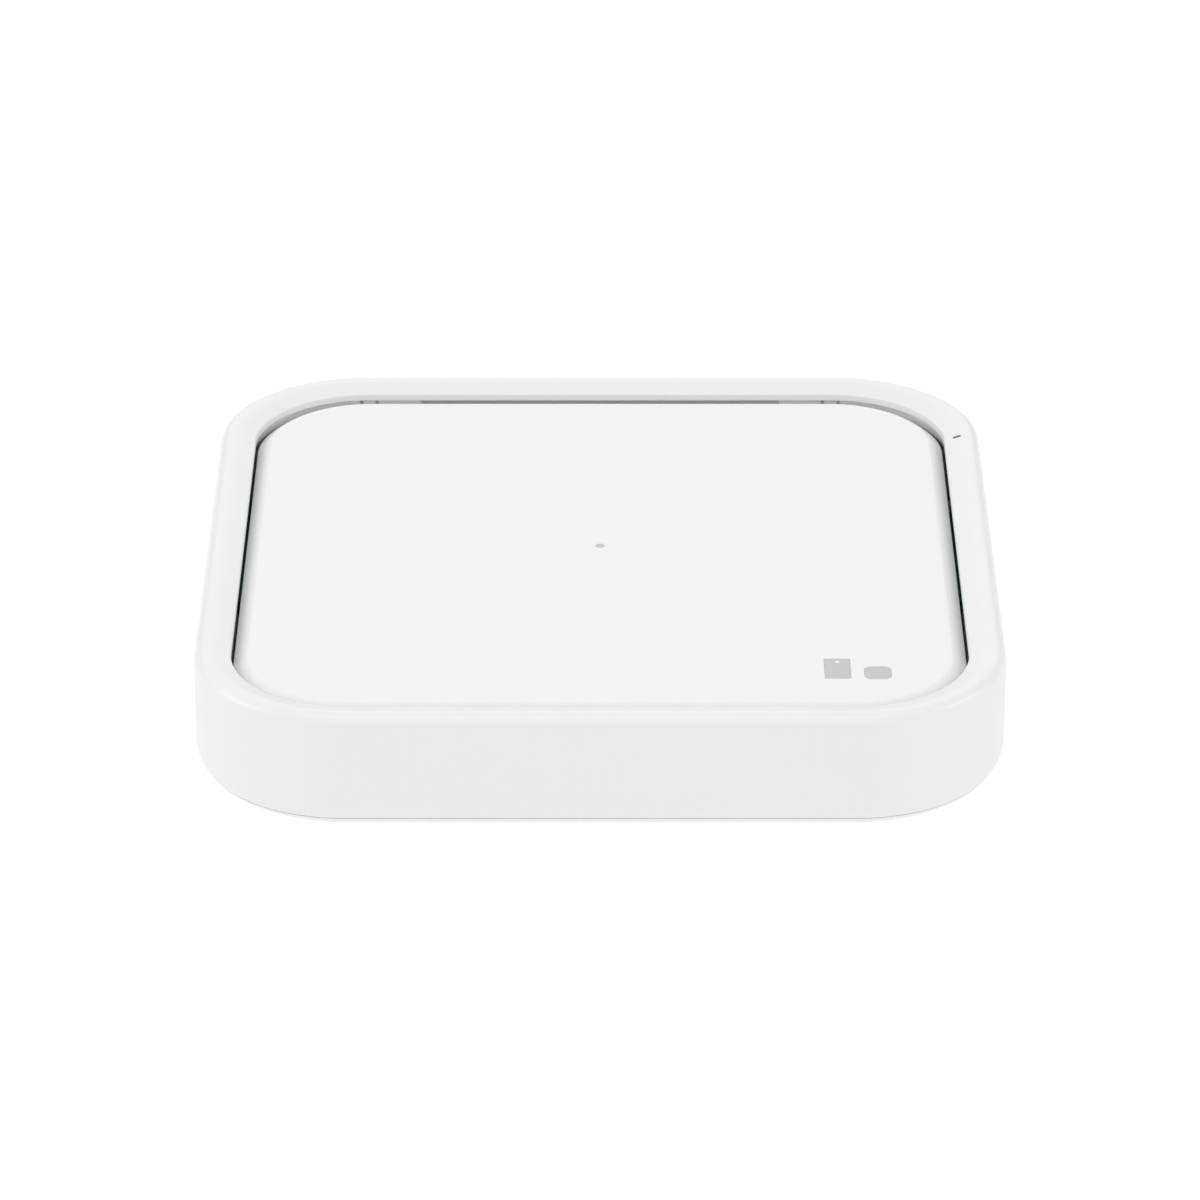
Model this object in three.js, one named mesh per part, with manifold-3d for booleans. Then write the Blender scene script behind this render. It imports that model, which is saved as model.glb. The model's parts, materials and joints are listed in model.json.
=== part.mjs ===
// Wireless charging pad: a square, round-cornered, fan-cooled pad that a phone lies on.
// Millimetres. +Z is up and the origin is on the desk, under the middle of the pad.
// -Y is the front, where the printed symbols are; +Y is the back, where the power inlet is.

import * as THREE from "three";
import { mergeVertices } from "three/addons/utils/BufferGeometryUtils.js";
import Module from "manifold-3d";

const wasm = await Module();
wasm.setup();

// ---------------------------------------------------------------- driving dimensions

// Whole pad
const WIDTH = 90;
const DEPTH = 90;
const HEIGHT = 15;
const CORNER_R = 16.8; // of the side wall, seen from above
const CORNER_SHRINK = 0.88; // corner radius lost per millimetre of inset from the side wall
const ARC_STEPS = 8; // straight steps in a quarter circle of the outline

// Shell: outer housing and base cover
const FOOT_STANDOFF = 0.5; // base cover above the desk
const WALL = 1.8;
const TOP_FILLET = 1.1;
const BOTTOM_FILLET = 4;
const SEAM_RISE = 1.7; // parting line above the base cover's underside
const SEAM_GAP = 0.1;
const BASE_T = 1.6;
const TONGUE_CLEARANCE = 0.2;
const TONGUE_T = 1;
const TONGUE_RISE = 1.9; // locating tongue above the base cover's floor

// Rim of the outer housing
const CREST_LAND = 0.1; // level strip at the top of the rim
const RIM_WIDTH = 4.08; // side wall to the lip
const RIM_DROP = 0.75; // crest to the lip's upper edge
const CROWN_WIDTH = 1.5; // stretch over which the rim turns from level to its slope
const LIP_BREAK = 0.1;
const LIP_HEIGHT = 0.86;
const RAIL_SETBACK = 0.38; // rail under the lip, behind the lip's face
const RAIL_HEIGHT = 1.2;
const VENT_DEPTH = 0.5; // air slots and catch slits, behind the face of the rail
const SIDE_VENT_HALF = 28; // half length of the air slot along each side
const BACK_VENT_HALF = 21.6;
const CATCH_SLIT_X = [26.9, 28.8]; // relief slits on each side of a back catch
const CATCH_SLIT_WIDTH = 0.35;

// Charging plate
const PLATE_GAP = 0.24; // air slot between the lip and the plate
const SKIRT_WIDTH = 1.55;
const SKIRT_DROP = 1.2;
const SKIRT_KNEE = { across: 0.6, up: 0.65 }; // shares of the skirt at its bend
const PLATE_DROP = 1.18; // crest of the rim to the flat of the plate
const PLATE_T = 1.2;
const PLATE_EDGE_T = 1.1;
const PLATE_EDGE_DEPTH = 1;

// Printed symbols, inlaid in the plate
const MARK_T = 0.12;
const MARK_CLEARANCE = 0.03;
const DOT_R = 0.5;
// Their centres are placed from the right and front walls.
const PHONE_MARK = { right: 18.78, front: 14, width: 2.85, height: 4.75 };
const PHONE_LENS = { right: 18.75, front: 15.65, r: 0.3 };
const BUDS_MARK = { right: 14.35, front: 13, width: 2.95, height: 3, r: 0.8 };

// Feet and case screws
const FOOT_INSET = 5.5; // side wall to the outer edge of a foot
const FOOT_WIDTH = 6;
const FOOT_GAP_HALF = 12; // half of the opening between two feet, where air is drawn in
const FOOT_POCKET = 0.7;
const FOOT_CLEARANCE = 0.15;
const CASE_SCREW_INSET = 11.5; // side wall to the axis of a case screw
const CASE_SCREW = { headR: 1.6, headH: 1, shankR: 0.65, length: 5, play: 0.3 };
const SCREW_PILOT_CLEARANCE = 0.05; // round a shank, in place of the thread
const SCREW_TIP_CLEARANCE = 0.2;
const BASE_BOSS_R = 3.4;
const BASE_BOSS_RISE = 1.5; // above the base cover's floor
const HOUSING_BOSS_R = 2.6;
const HOUSING_BOSS_H = 4.6;
const WEB_T = 1.2;

// Charging coil stack, from the top down
const TOP_CLEARANCE = 0.12;
const STACK_GAP = 0.05;
const COIL_T = 1.15;
const COIL_OUTER_R = 22;
const COIL_INNER_R = 10.25;
const FERRITE_T = 0.8;
const FERRITE_R = 25;
const SPREADER_T = 0.5;
const SPREADER_HALF = 28;
const SPREADER_R = 6;
const SPREADER_CLEARANCE = 0.5; // round the head of a chassis screw
const ADHESIVE_T = 0.13;
const LEAD_R = 0.5;
const LEAD_SLOT = { halfX: 1.4, halfY: 1.1 };
const INNER_LEAD_GAP = 1.8; // coil's edge to the axis of a lead
const OUTER_LEAD_GAP = 1.6;
const THERMISTOR = { x: 3.2, y: 1.6, z: 0.9 };

// Inner chassis
const CHASSIS_T = 1.1;
const HEADROOM = 0.25; // least space over and beside what stands under the chassis
const CHASSIS_CLEARANCE = 0.42; // inside the lip, so that the chassis drops in from below
const CHASSIS_WALL_T = 1.2;
const CHASSIS_WALL_CLEARANCE = 0.23; // inside the plate's edge
const CHASSIS_SCREW = { headR: 1.5, headH: 0.9, shankR: 0.65, length: 5, play: 0.25 };
const POST_R = 2.3;
const POST_COLLAR = 0.9;
const FRONT_POST = { wallInset: 14, y: -18 };
const BACK_POST = { wallInset: 11, y: 14 };

// Main board and what is on it
const BOARD_STANDOFF = 2.1;
const BOARD_T = 1;
const BOARD_FRONT_Y = 3;
const BOARD_WALL_GAP = 0.8;
const BOARD_HOLE_CLEARANCE = 0.3;
const BOARD_SCREW = { headR: 1.4, headH: 0.7, shankR: 0.55, length: 3.6, play: 0.25 };
const BOARD_SCREW_X = 14;
const BOARD_SCREW_INSET = 7.5;
const BOARD_BOSS_R = 2;
const COMPONENTS = {
  controller_chip: { x: -22, y: 25, size: [7, 7, 0.9], color: 0x1b1c1e },
  power_stage_chip: { x: 11, y: 20, size: [5, 5, 0.9], color: 0x1b1c1e },
  power_inductor: { x: 22, y: 26, size: [7, 6.6, 2.8], color: 0x3c3d40 },
  input_capacitor: { x: 13, y: 30, size: [4.3, 7.3, 2.8], color: 0x8a6a2c },
};
const CAPACITOR_COUNT = 4;
const CAPACITOR = { x: -6, y: 15, pitch: 4, size: [2.5, 3.2, 1.9] };
const CONNECTOR = { x: 22, y: 8, size: [5, 3.4, 1.6] };

// Power inlet, a small oval twelve-pair receptacle
const INLET = { width: 8.94, height: 3.26, length: 7.35, wall: 0.3 };
const INLET_RECESS = 0.6; // mouth behind the back face
const INLET_CLEARANCE = 0.27;
const TONGUE_BOARD = { width: 6.69, height: 0.7, length: 5.6 };

// Status light
const LIGHT_BACK_INSET = 17.3; // back wall to the light
const LIGHT_INSET = 2.6;
const LIGHT_SLOT = { length: 0.92, width: 0.5 };
const LIGHT_PIPE_R = 0.55;
const LIGHT_CLEARANCE = 0.12;
const LIGHT_RECESS = 0.06; // top of the light pipe under the surface of the rim
const LED = { x: 0.8, y: 1.6, z: 0.7 };
const LED_GAP = 0.2; // light source to the foot of the pipe

// Fan: a flat radial blower, air in from below and out to the left
const FAN_HALF = 18;
const FAN_CORNER_R = 3;
const FAN_HEIGHT = 5.4;
const FAN_FLOOR_GAP = 0.1;
const FAN_FLOOR_T = 0.8;
const FAN_COVER_T = 0.4;
const FAN_BOARD_GAP = 2;
const FAN_CAVITY_R = 16.2;
const FAN_OUTLET = [-15.6, -3];
const FAN_INLET_R = [6.6, 11.5];
const FAN_SPOKES = 3;
const FAN_SPOKE_T = 1.8;
const FAN_SCREW = { headR: 1.3, headH: 0.7, shankR: 0.55, length: 6.4, play: 0.15 };
const FAN_SCREW_OFFSET = 15.3;
const BLADES = 15;
const BLADE_T = 0.6;
const BLADE_R = [9.8, 15];
const BLADE_SWEEP = 0.42; // radians that a blade's tip lags its root
const ROTOR_GAP = 0.5; // blades to the frame's floor
const ROTOR_PLATE_T = 0.5;
const ROTOR_PLATE_R = 15.2;
const HUB_R = 6.4;
const HUB_WALL = 0.6;
const MAGNET_T = 0.85;
const SHAFT_R = 0.6;
const SHAFT_CLEARANCE = 0.06;
const BEARING_R = 1.5;
const BEARING_TUBE_T = 0.6;
const BEARING_TUBE_DROP = 1.6; // top of the tube below the cover
const ROTOR_TOP_GAP = 0.4; // impeller to the cover
const DRIVER_BOARD_T = 0.4;
const STATOR_LIFT = 0.65; // over the frame's floor
const STATOR_CORE_T = 0.75;
const STATOR_TOOTH_HALF = 0.7;
const FAN_LEAD_R = 0.55;
const STATOR_R = 4.5;

// Air intake under the fan
const GRILLE_R = 12;
const GRILLE_SLOT = 1.6;
const GRILLE_PITCH = 3;

// ---------------------------------------------------------------- heights and places

const halfX = WIDTH / 2;
const halfY = DEPTH / 2;
const baseZ = FOOT_STANDOFF;
const floorZ = baseZ + BASE_T;
const seamZ = baseZ + SEAM_RISE;
const tongueTopZ = floorZ + TONGUE_RISE;

const lipTopZ = HEIGHT - RIM_DROP;
const lipBottomZ = lipTopZ - LIP_HEIGHT;
const plateTopZ = HEIGHT - PLATE_DROP;
const plateUnderZ = plateTopZ - PLATE_T;
const skirtZ = plateTopZ - SKIRT_DROP;
const plateEdgeInset = RIM_WIDTH + PLATE_GAP;
const plateFlatInset = plateEdgeInset + SKIRT_WIDTH;

const coilTopZ = plateUnderZ - TOP_CLEARANCE;
const coilZ = coilTopZ - COIL_T;
const ferriteZ = coilZ - STACK_GAP - FERRITE_T;
const spreaderZ = ferriteZ - STACK_GAP - SPREADER_T;
const chassisTopZ = spreaderZ - STACK_GAP;
const chassisZ = chassisTopZ - CHASSIS_T;
const chassisInset = RIM_WIDTH + CHASSIS_CLEARANCE;
const chassisWallInset = plateEdgeInset + PLATE_EDGE_T + CHASSIS_WALL_CLEARANCE;
const chassisWallTopZ = plateUnderZ - ADHESIVE_T - 2 * MARK_CLEARANCE;

const boardZ = floorZ + BOARD_STANDOFF;
const boardTopZ = boardZ + BOARD_T;
const onBoardZ = boardTopZ + STACK_GAP;
const inletZ = onBoardZ + INLET.height / 2;
const inletMouthY = halfY - INLET_RECESS;

const fanZ = floorZ + FAN_FLOOR_GAP;
const fanY = BOARD_FRONT_Y - FAN_BOARD_GAP - FAN_HALF;

const crestInset = TOP_FILLET + CREST_LAND;
const rimSlope = RIM_DROP / (RIM_WIDTH - crestInset - CROWN_WIDTH / 2);

const boardEdge = WALL + BOARD_WALL_GAP;
const lightX = halfX - LIGHT_INSET;
const pipeFootZ = onBoardZ + LED.z + LED_GAP;
const lightY = halfY - LIGHT_BACK_INSET;
const innerLeadY = COIL_INNER_R - INNER_LEAD_GAP;
const outerLeadY = COIL_OUTER_R + OUTER_LEAD_GAP;

// ---------------------------------------------------------------- geometry helpers

/** The pad's outline, moved in by inset, as points at height z, anticlockwise from above. */
function outlineRing(inset, z) {
  const r = Math.max(CORNER_R - CORNER_SHRINK * inset, 0.5);
  const cx = halfX - inset - r;
  const cy = halfY - inset - r;
  const centres = [
    [cx, cy],
    [-cx, cy],
    [-cx, -cy],
    [cx, -cy],
  ];
  const ring = [];
  centres.forEach(([x, y], quarter) => {
    for (let step = 0; step <= ARC_STEPS; step += 1) {
      const angle = (quarter + step / ARC_STEPS) * (Math.PI / 2);
      ring.push([x + r * Math.cos(angle), y + r * Math.sin(angle), z]);
    }
  });
  return ring;
}

/**
 * Solid swept round the pad's outline. profile lists [inset, z]: up the outside, in over the
 * top and down the inside. A closed profile makes a ring; an open one starts on the underside
 * and ends on the top, and both ends are filled in flat.
 */
function outlineSolid(profile, closed) {
  const rings = profile.map(([inset, z]) => outlineRing(inset, z));
  const count = rings[0].length;
  const positions = rings.flat(2);
  const index = [];
  const spans = closed ? rings.length : rings.length - 1;
  for (let i = 0; i < spans; i += 1) {
    const lower = i * count;
    const upper = ((i + 1) % rings.length) * count;
    for (let k = 0; k < count; k += 1) {
      const next = (k + 1) % count;
      index.push(lower + k, lower + next, upper + next);
      index.push(lower + k, upper + next, upper + k);
    }
  }
  if (!closed) {
    const bottom = positions.length / 3;
    const top = bottom + 1;
    const last = (rings.length - 1) * count;
    positions.push(0, 0, profile[0][1], 0, 0, profile.at(-1)[1]);
    for (let k = 0; k < count; k += 1) {
      const next = (k + 1) % count;
      index.push(bottom, next, k);
      index.push(top, last + k, last + next);
    }
  }
  const geometry = new THREE.BufferGeometry();
  geometry.setAttribute("position", new THREE.Float32BufferAttribute(positions, 3));
  geometry.setIndex(index);
  return geometry;
}

/** Box between two corners. */
function box(x0, x1, y0, y1, z0, z1) {
  const geometry = new THREE.BoxGeometry(x1 - x0, y1 - y0, z1 - z0);
  return geometry.translate((x0 + x1) / 2, (y0 + y1) / 2, (z0 + z1) / 2);
}

/** Upright cylinder. */
function cylinder(x, y, z0, z1, r, sides = 16) {
  const geometry = new THREE.CylinderGeometry(r, r, z1 - z0, sides);
  return geometry.rotateX(Math.PI / 2).translate(x, y, (z0 + z1) / 2);
}

/** Shape extruded upwards from z0 to z1. */
function prism(shape, z0, z1, curveSegments = 6) {
  const options = { depth: z1 - z0, bevelEnabled: false, curveSegments };
  return new THREE.ExtrudeGeometry(shape, options).translate(0, 0, z0);
}

/** Rectangle with round corners, about its centre. */
function roundedRectangle(halfWidth, halfHeight, r) {
  const x = halfWidth - r;
  const y = halfHeight - r;
  const shape = new THREE.Shape();
  shape.absarc(x, y, r, 0, Math.PI / 2);
  shape.absarc(-x, y, r, Math.PI / 2, Math.PI);
  shape.absarc(-x, -y, r, Math.PI, 1.5 * Math.PI);
  shape.absarc(x, -y, r, 1.5 * Math.PI, 2 * Math.PI);
  return shape;
}

/** Body of revolution about Z; profile lists [radius, z] up the outside and back down the inside. */
function turned(profile, sides = 24) {
  const points = profile.map(([r, z]) => new THREE.Vector2(r, z));
  return new THREE.LatheGeometry(points, sides).rotateX(Math.PI / 2);
}

/** Ring with a rectangular section. */
function turnedRing(innerR, outerR, z0, z1, sides = 24) {
  return turned([[innerR, z0], [outerR, z0], [outerR, z1], [innerR, z1], [innerR, z0]], sides);
}

/** Wire of round section along a smooth curve through the points. */
function wire(points, r, steps) {
  const curve = new THREE.CatmullRomCurve3(points.map((p) => new THREE.Vector3(...p)));
  const section = new THREE.Shape().absarc(0, 0, r, 0, 2 * Math.PI);
  return new THREE.ExtrudeGeometry(section, { steps, extrudePath: curve, curveSegments: 4 });
}

/** Screw standing on its tip at the origin, head up. */
function screw({ headR, headH, shankR, length }) {
  const top = length + headH;
  return turned([[0, 0], [shankR, 0], [shankR, length], [headR, length], [headR, top], [0, top]], 10);
}

/** Geometry as a manifold solid. */
function solid(geometry) {
  const bare = geometry.clone();
  bare.deleteAttribute("normal");
  bare.deleteAttribute("uv");
  const merged = mergeVertices(bare, 1e-4);
  const vertProperties = new Float32Array(merged.attributes.position.array);
  const triVerts = new Uint32Array(merged.index.array);
  return new wasm.Manifold(new wasm.Mesh({ numProp: 3, vertProperties, triVerts }));
}

/** Manifold solid as a geometry. */
function geometryOf(manifold) {
  const mesh = manifold.getMesh();
  const geometry = new THREE.BufferGeometry();
  geometry.setAttribute("position", new THREE.BufferAttribute(mesh.vertProperties, 3));
  geometry.setIndex(new THREE.BufferAttribute(mesh.triVerts, 1));
  geometry.computeVertexNormals();
  return geometry;
}

/** body joined with all of the pieces. */
function join(body, ...pieces) {
  return geometryOf(pieces.reduce((sum, piece) => sum.add(solid(piece)), solid(body)));
}

/** body with all of the tools cut away. */
function cut(body, ...tools) {
  return geometryOf(tools.reduce((rest, tool) => rest.subtract(solid(tool)), solid(body)));
}

/** What body and tool have in common. */
function common(body, tool) {
  return geometryOf(solid(body).intersect(solid(tool)));
}

/** Stretch of a strip that follows the outline between two insets, kept within x and y. */
function strip([outer, inner], [z0, z1], [x0, x1], [y0, y1]) {
  const ring = outlineSolid([[outer, z0], [outer, z1], [inner, z1], [inner, z0]], true);
  return common(ring, box(x0, x1, y0, y1, z0 - 1, z1 + 1));
}

/** The four corners, as signs of X and Y with a name. */
const CORNERS = [
  { name: "front_left", sx: -1, sy: -1 },
  { name: "front_right", sx: 1, sy: -1 },
  { name: "back_left", sx: -1, sy: 1 },
  { name: "back_right", sx: 1, sy: 1 },
];
const SIDES = [
  { name: "left", sx: -1 },
  { name: "right", sx: 1 },
];

// ---------------------------------------------------------------- materials and assembly

function plastic(color, roughness = 0.4) {
  return new THREE.MeshStandardMaterial({ color, roughness, metalness: 0 });
}

function metal(color, roughness = 0.35) {
  return new THREE.MeshStandardMaterial({ color, roughness, metalness: 1 });
}

const WHITE = 0xf2f2f2;
const PRINT_GREY = 0xc8c8c8;

const pad = new THREE.Group();
pad.name = "wireless_charging_pad";
const fan = new THREE.Group();
fan.name = "fan";
fan.position.set(0, fanY, fanZ);
pad.add(fan);

/** Adds a named sub-part. */
function add(name, geometry, material, parent = pad) {
  const mesh = new THREE.Mesh(geometry, material);
  mesh.name = name;
  parent.add(mesh);
  return mesh;
}

// ---------------------------------------------------------------- outer housing

const caseScrewPlaces = CORNERS.map(({ name, sx, sy }) => ({
  name,
  sy,
  x: sx * (halfX - CASE_SCREW_INSET),
  y: sy * (halfY - CASE_SCREW_INSET),
}));
const caseJointZ = floorZ + BASE_BOSS_RISE; // where the base bosses meet the housing's
const caseHeadZ = baseZ + FOOT_POCKET + CASE_SCREW.headH + SCREW_TIP_CLEARANCE; // seat of a case screw's head
const caseTipZ = caseHeadZ - STACK_GAP + CASE_SCREW.length;

/** Crown of the rim: close to a parabola that leaves the crest level and ends at the slope. */
function rimCrown() {
  const points = [];
  for (let step = 0; step <= 3; step += 1) {
    const along = (step / 3) * CROWN_WIDTH;
    points.push([crestInset + along, HEIGHT - (rimSlope * along ** 2) / (2 * CROWN_WIDTH)]);
  }
  return points;
}

/** Profile of side wall, rim, lip and rail. */
function housingProfile() {
  const points = [];
  const seamBottom = seamZ + SEAM_GAP / 2;
  const seamAngle = Math.asin((baseZ + BOTTOM_FILLET - seamBottom) / BOTTOM_FILLET);
  for (let step = 0; step <= 3; step += 1) {
    const angle = seamAngle * (1 - step / 3);
    const z = baseZ + BOTTOM_FILLET * (1 - Math.sin(angle));
    points.push([BOTTOM_FILLET * (1 - Math.cos(angle)), z]);
  }
  for (let step = 0; step <= 4; step += 1) {
    const angle = (step / 4) * (Math.PI / 2);
    const z = HEIGHT - TOP_FILLET * (1 - Math.sin(angle));
    points.push([TOP_FILLET * (1 - Math.cos(angle)), z]);
  }
  points.push(...rimCrown());
  points.push([RIM_WIDTH - LIP_BREAK, lipTopZ + rimSlope * LIP_BREAK]);
  points.push([RIM_WIDTH, lipTopZ - LIP_BREAK]);
  points.push([RIM_WIDTH, lipBottomZ]);
  points.push([RIM_WIDTH - RAIL_SETBACK, lipBottomZ]);
  points.push([RIM_WIDTH - RAIL_SETBACK, lipBottomZ - RAIL_HEIGHT]);
  points.push([WALL, lipBottomZ - RAIL_HEIGHT]);
  points.push([WALL, seamBottom]);
  return points;
}

/** Oval prism through the back wall for the power plug. */
function inletOpening() {
  const clear = INLET_CLEARANCE;
  const half = INLET.height / 2 + clear;
  const shape = roundedRectangle(INLET.width / 2 + clear, half, half);
  return prism(shape, 0, 2 * WALL).rotateX(Math.PI / 2).translate(0, halfY + WALL / 2, inletZ);
}

/** Boss for one case screw, with the web that ties it to the front or back wall. */
function housingBoss({ x, y, sy }) {
  const bossTop = caseJointZ + STACK_GAP + HOUSING_BOSS_H;
  const boss = cylinder(x, y, caseJointZ + STACK_GAP, bossTop, HOUSING_BOSS_R);
  const wallY = sy * (halfY - WALL);
  const web = box(
    x - WEB_T / 2,
    x + WEB_T / 2,
    Math.min(y, wallY),
    Math.max(y, wallY),
    tongueTopZ + TONGUE_CLEARANCE,
    bossTop,
  );
  return join(boss, web);
}

function outerHousing() {
  const ventTop = lipBottomZ;
  const ventBottom = lipBottomZ - RAIL_HEIGHT - 1;
  const railFace = RIM_WIDTH - RAIL_SETBACK;
  const across = [railFace - VENT_DEPTH, railFace + 1];
  const heights = [ventBottom, ventTop];
  const cuts = [];
  for (const { sx } of SIDES) {
    const side = [0, sx * halfX].sort((a, b) => a - b);
    cuts.push(strip(across, heights, side, [-SIDE_VENT_HALF, SIDE_VENT_HALF]));
    for (const slitX of CATCH_SLIT_X) {
      const x = sx * slitX;
      const half = CATCH_SLIT_WIDTH / 2;
      cuts.push(strip(across, heights, [x - half, x + half], [0, halfY]));
    }
  }
  cuts.push(strip(across, heights, [-BACK_VENT_HALF, BACK_VENT_HALF], [0, halfY]));
  cuts.push(inletOpening());
  const pilotR = CASE_SCREW.shankR + SCREW_PILOT_CLEARANCE;
  for (const { x, y } of caseScrewPlaces) {
    cuts.push(cylinder(x, y, caseJointZ - 1, caseTipZ + SCREW_TIP_CLEARANCE, pilotR, 8));
  }
  const slot = roundedRectangle(
    LIGHT_SLOT.length / 2 + LIGHT_CLEARANCE / 2,
    LIGHT_SLOT.width / 2 + LIGHT_CLEARANCE / 2,
    LIGHT_SLOT.width / 2 + LIGHT_CLEARANCE / 2,
  );
  cuts.push(prism(slot, lipBottomZ - 1, HEIGHT + 1).translate(lightX, lightY, 0));
  const pipeHoleR = LIGHT_PIPE_R + LIGHT_CLEARANCE;
  // The hole runs the whole length of the pipe, so a thick wall is relieved beside it.
  cuts.push(cylinder(lightX, lightY, pipeFootZ - LIGHT_CLEARANCE, lipBottomZ, pipeHoleR, 16));
  const bosses = caseScrewPlaces.map(housingBoss);
  return cut(join(outlineSolid(housingProfile(), true), ...bosses), ...cuts);
}

add("outer_housing", outerHousing(), plastic(WHITE));

// ---------------------------------------------------------------- base cover and feet

const postPlaces = SIDES.flatMap(({ name, sx }) => [
  { name: `front_${name}`, x: sx * (halfX - FRONT_POST.wallInset), y: FRONT_POST.y },
  { name: `back_${name}`, x: sx * (halfX - BACK_POST.wallInset), y: BACK_POST.y },
]);
const boardScrewPlaces = SIDES.map(({ name, sx }) => ({
  name,
  x: sx * BOARD_SCREW_X,
  y: halfY - BOARD_SCREW_INSET,
}));
const fanScrewPlaces = SIDES.map(({ name, sx }) => ({
  name,
  x: sx * FAN_SCREW_OFFSET,
  y: sx * FAN_SCREW_OFFSET,
}));
const postTopZ = chassisZ - STACK_GAP;
const boardBossTopZ = boardZ - STACK_GAP;

function baseProfile() {
  const points = [];
  const edgeZ = seamZ - SEAM_GAP / 2;
  const edgeAngle = Math.asin((baseZ + BOTTOM_FILLET - edgeZ) / BOTTOM_FILLET);
  for (let step = 0; step <= 4; step += 1) {
    const angle = Math.PI / 2 + (edgeAngle - Math.PI / 2) * (step / 4);
    const z = baseZ + BOTTOM_FILLET * (1 - Math.sin(angle));
    points.push([BOTTOM_FILLET * (1 - Math.cos(angle)), z]);
  }
  const tongueInset = WALL + TONGUE_CLEARANCE;
  points.push([tongueInset, edgeZ]);
  points.push([tongueInset, tongueTopZ]);
  points.push([tongueInset + TONGUE_T, tongueTopZ]);
  points.push([tongueInset + TONGUE_T, floorZ]);
  return points;
}

/** Strip round one corner of the underside, grown by clear on every side. */
function cornerStrip(sx, sy, z0, z1, clear) {
  const outer = FOOT_INSET - clear;
  const inner = FOOT_INSET + FOOT_WIDTH + clear;
  const near = FOOT_GAP_HALF - clear;
  const x = [sx * near, sx * halfX].sort((a, b) => a - b);
  const y = [sy * near, sy * halfY].sort((a, b) => a - b);
  return strip([outer, inner], [z0, z1], x, y);
}

/** Slots under the fan's inlet, cut to a round field. */
function grilleSlots() {
  const slots = [];
  const reach = Math.floor(GRILLE_R / GRILLE_PITCH);
  for (let i = -reach; i <= reach; i += 1) {
    const x = i * GRILLE_PITCH;
    const half = Math.sqrt(GRILLE_R ** 2 - x ** 2);
    if (half > GRILLE_SLOT) {
      const side = GRILLE_SLOT / 2;
      slots.push(box(x - side, x + side, fanY - half, fanY + half, baseZ - 1, floorZ + 1));
    }
  }
  return slots;
}

function baseCover() {
  const bosses = [];
  const cuts = grilleSlots();
  const sink = floorZ - STACK_GAP; // bosses start a little inside the floor
  for (const { x, y } of caseScrewPlaces) {
    bosses.push(cylinder(x, y, sink, caseJointZ, BASE_BOSS_R));
    cuts.push(cylinder(x, y, baseZ - 1, caseHeadZ, CASE_SCREW.headR + CASE_SCREW.play, 16));
    cuts.push(cylinder(x, y, baseZ, caseJointZ + 1, CASE_SCREW.shankR + CASE_SCREW.play, 8));
  }
  for (const { x, y } of postPlaces) {
    bosses.push(cylinder(x, y, sink, boardBossTopZ, POST_R + POST_COLLAR));
    bosses.push(cylinder(x, y, sink, postTopZ, POST_R));
    const pilotDepth = CHASSIS_SCREW.length - CHASSIS_T + SCREW_TIP_CLEARANCE + 2 * STACK_GAP;
    const pilotR = CHASSIS_SCREW.shankR + SCREW_PILOT_CLEARANCE;
    cuts.push(cylinder(x, y, postTopZ - pilotDepth, postTopZ + 1, pilotR, 8));
  }
  for (const { x, y } of boardScrewPlaces) {
    bosses.push(cylinder(x, y, sink, boardBossTopZ, BOARD_BOSS_R, 16));
    const pilotR = BOARD_SCREW.shankR + SCREW_PILOT_CLEARANCE;
    cuts.push(cylinder(x, y, floorZ - BASE_T / 2, boardBossTopZ + 1, pilotR, 8));
  }
  for (const { x, y } of fanScrewPlaces) {
    const pilotR = FAN_SCREW.shankR + SCREW_PILOT_CLEARANCE;
    cuts.push(cylinder(x, fanY + y, floorZ - 0.75 * BASE_T, floorZ + 1, pilotR, 8));
  }
  for (const { sx, sy } of CORNERS) {
    cuts.push(cornerStrip(sx, sy, baseZ - 1, baseZ + FOOT_POCKET, FOOT_CLEARANCE));
  }
  return cut(join(outlineSolid(baseProfile(), false), ...bosses), ...cuts);
}

add("base_cover", baseCover(), plastic(WHITE, 0.5));

for (const { name, sx, sy } of CORNERS) {
  const footTop = baseZ + FOOT_POCKET - STACK_GAP;
  add(`foot_${name}`, cornerStrip(sx, sy, 0, footTop, 0), plastic(0xb9babb, 0.8));
}

for (const { name, x, y } of caseScrewPlaces) {
  const mesh = add(`case_screw_${name}`, screw(CASE_SCREW), metal(0x8d8f92));
  mesh.rotation.x = Math.PI;
  mesh.position.set(x, y, caseTipZ);
}

// ---------------------------------------------------------------- charging plate and symbols

/** Phone symbol: a small upright rectangle with a round lens left out, grown by clear. */
function phoneMark(z0, z1, clear) {
  const { right, front, width, height } = PHONE_MARK;
  const x = halfX - right;
  const y = front - halfY;
  const body = box(
    x - width / 2 - clear,
    x + width / 2 + clear,
    y - height / 2 - clear,
    y + height / 2 + clear,
    z0,
    z1,
  );
  const lensX = halfX - PHONE_LENS.right;
  const lensY = PHONE_LENS.front - halfY;
  return cut(body, cylinder(lensX, lensY, z0 - 1, z1 + 1, PHONE_LENS.r - clear, 12));
}

/** Earbud case symbol: a pebble shape, grown by clear. */
function budsMark(z0, z1, clear) {
  const { right, front, width, height, r } = BUDS_MARK;
  const shape = roundedRectangle(width / 2 + clear, height / 2 + clear, r + clear);
  return prism(shape, z0, z1).translate(halfX - right, front - halfY, 0);
}

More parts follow.
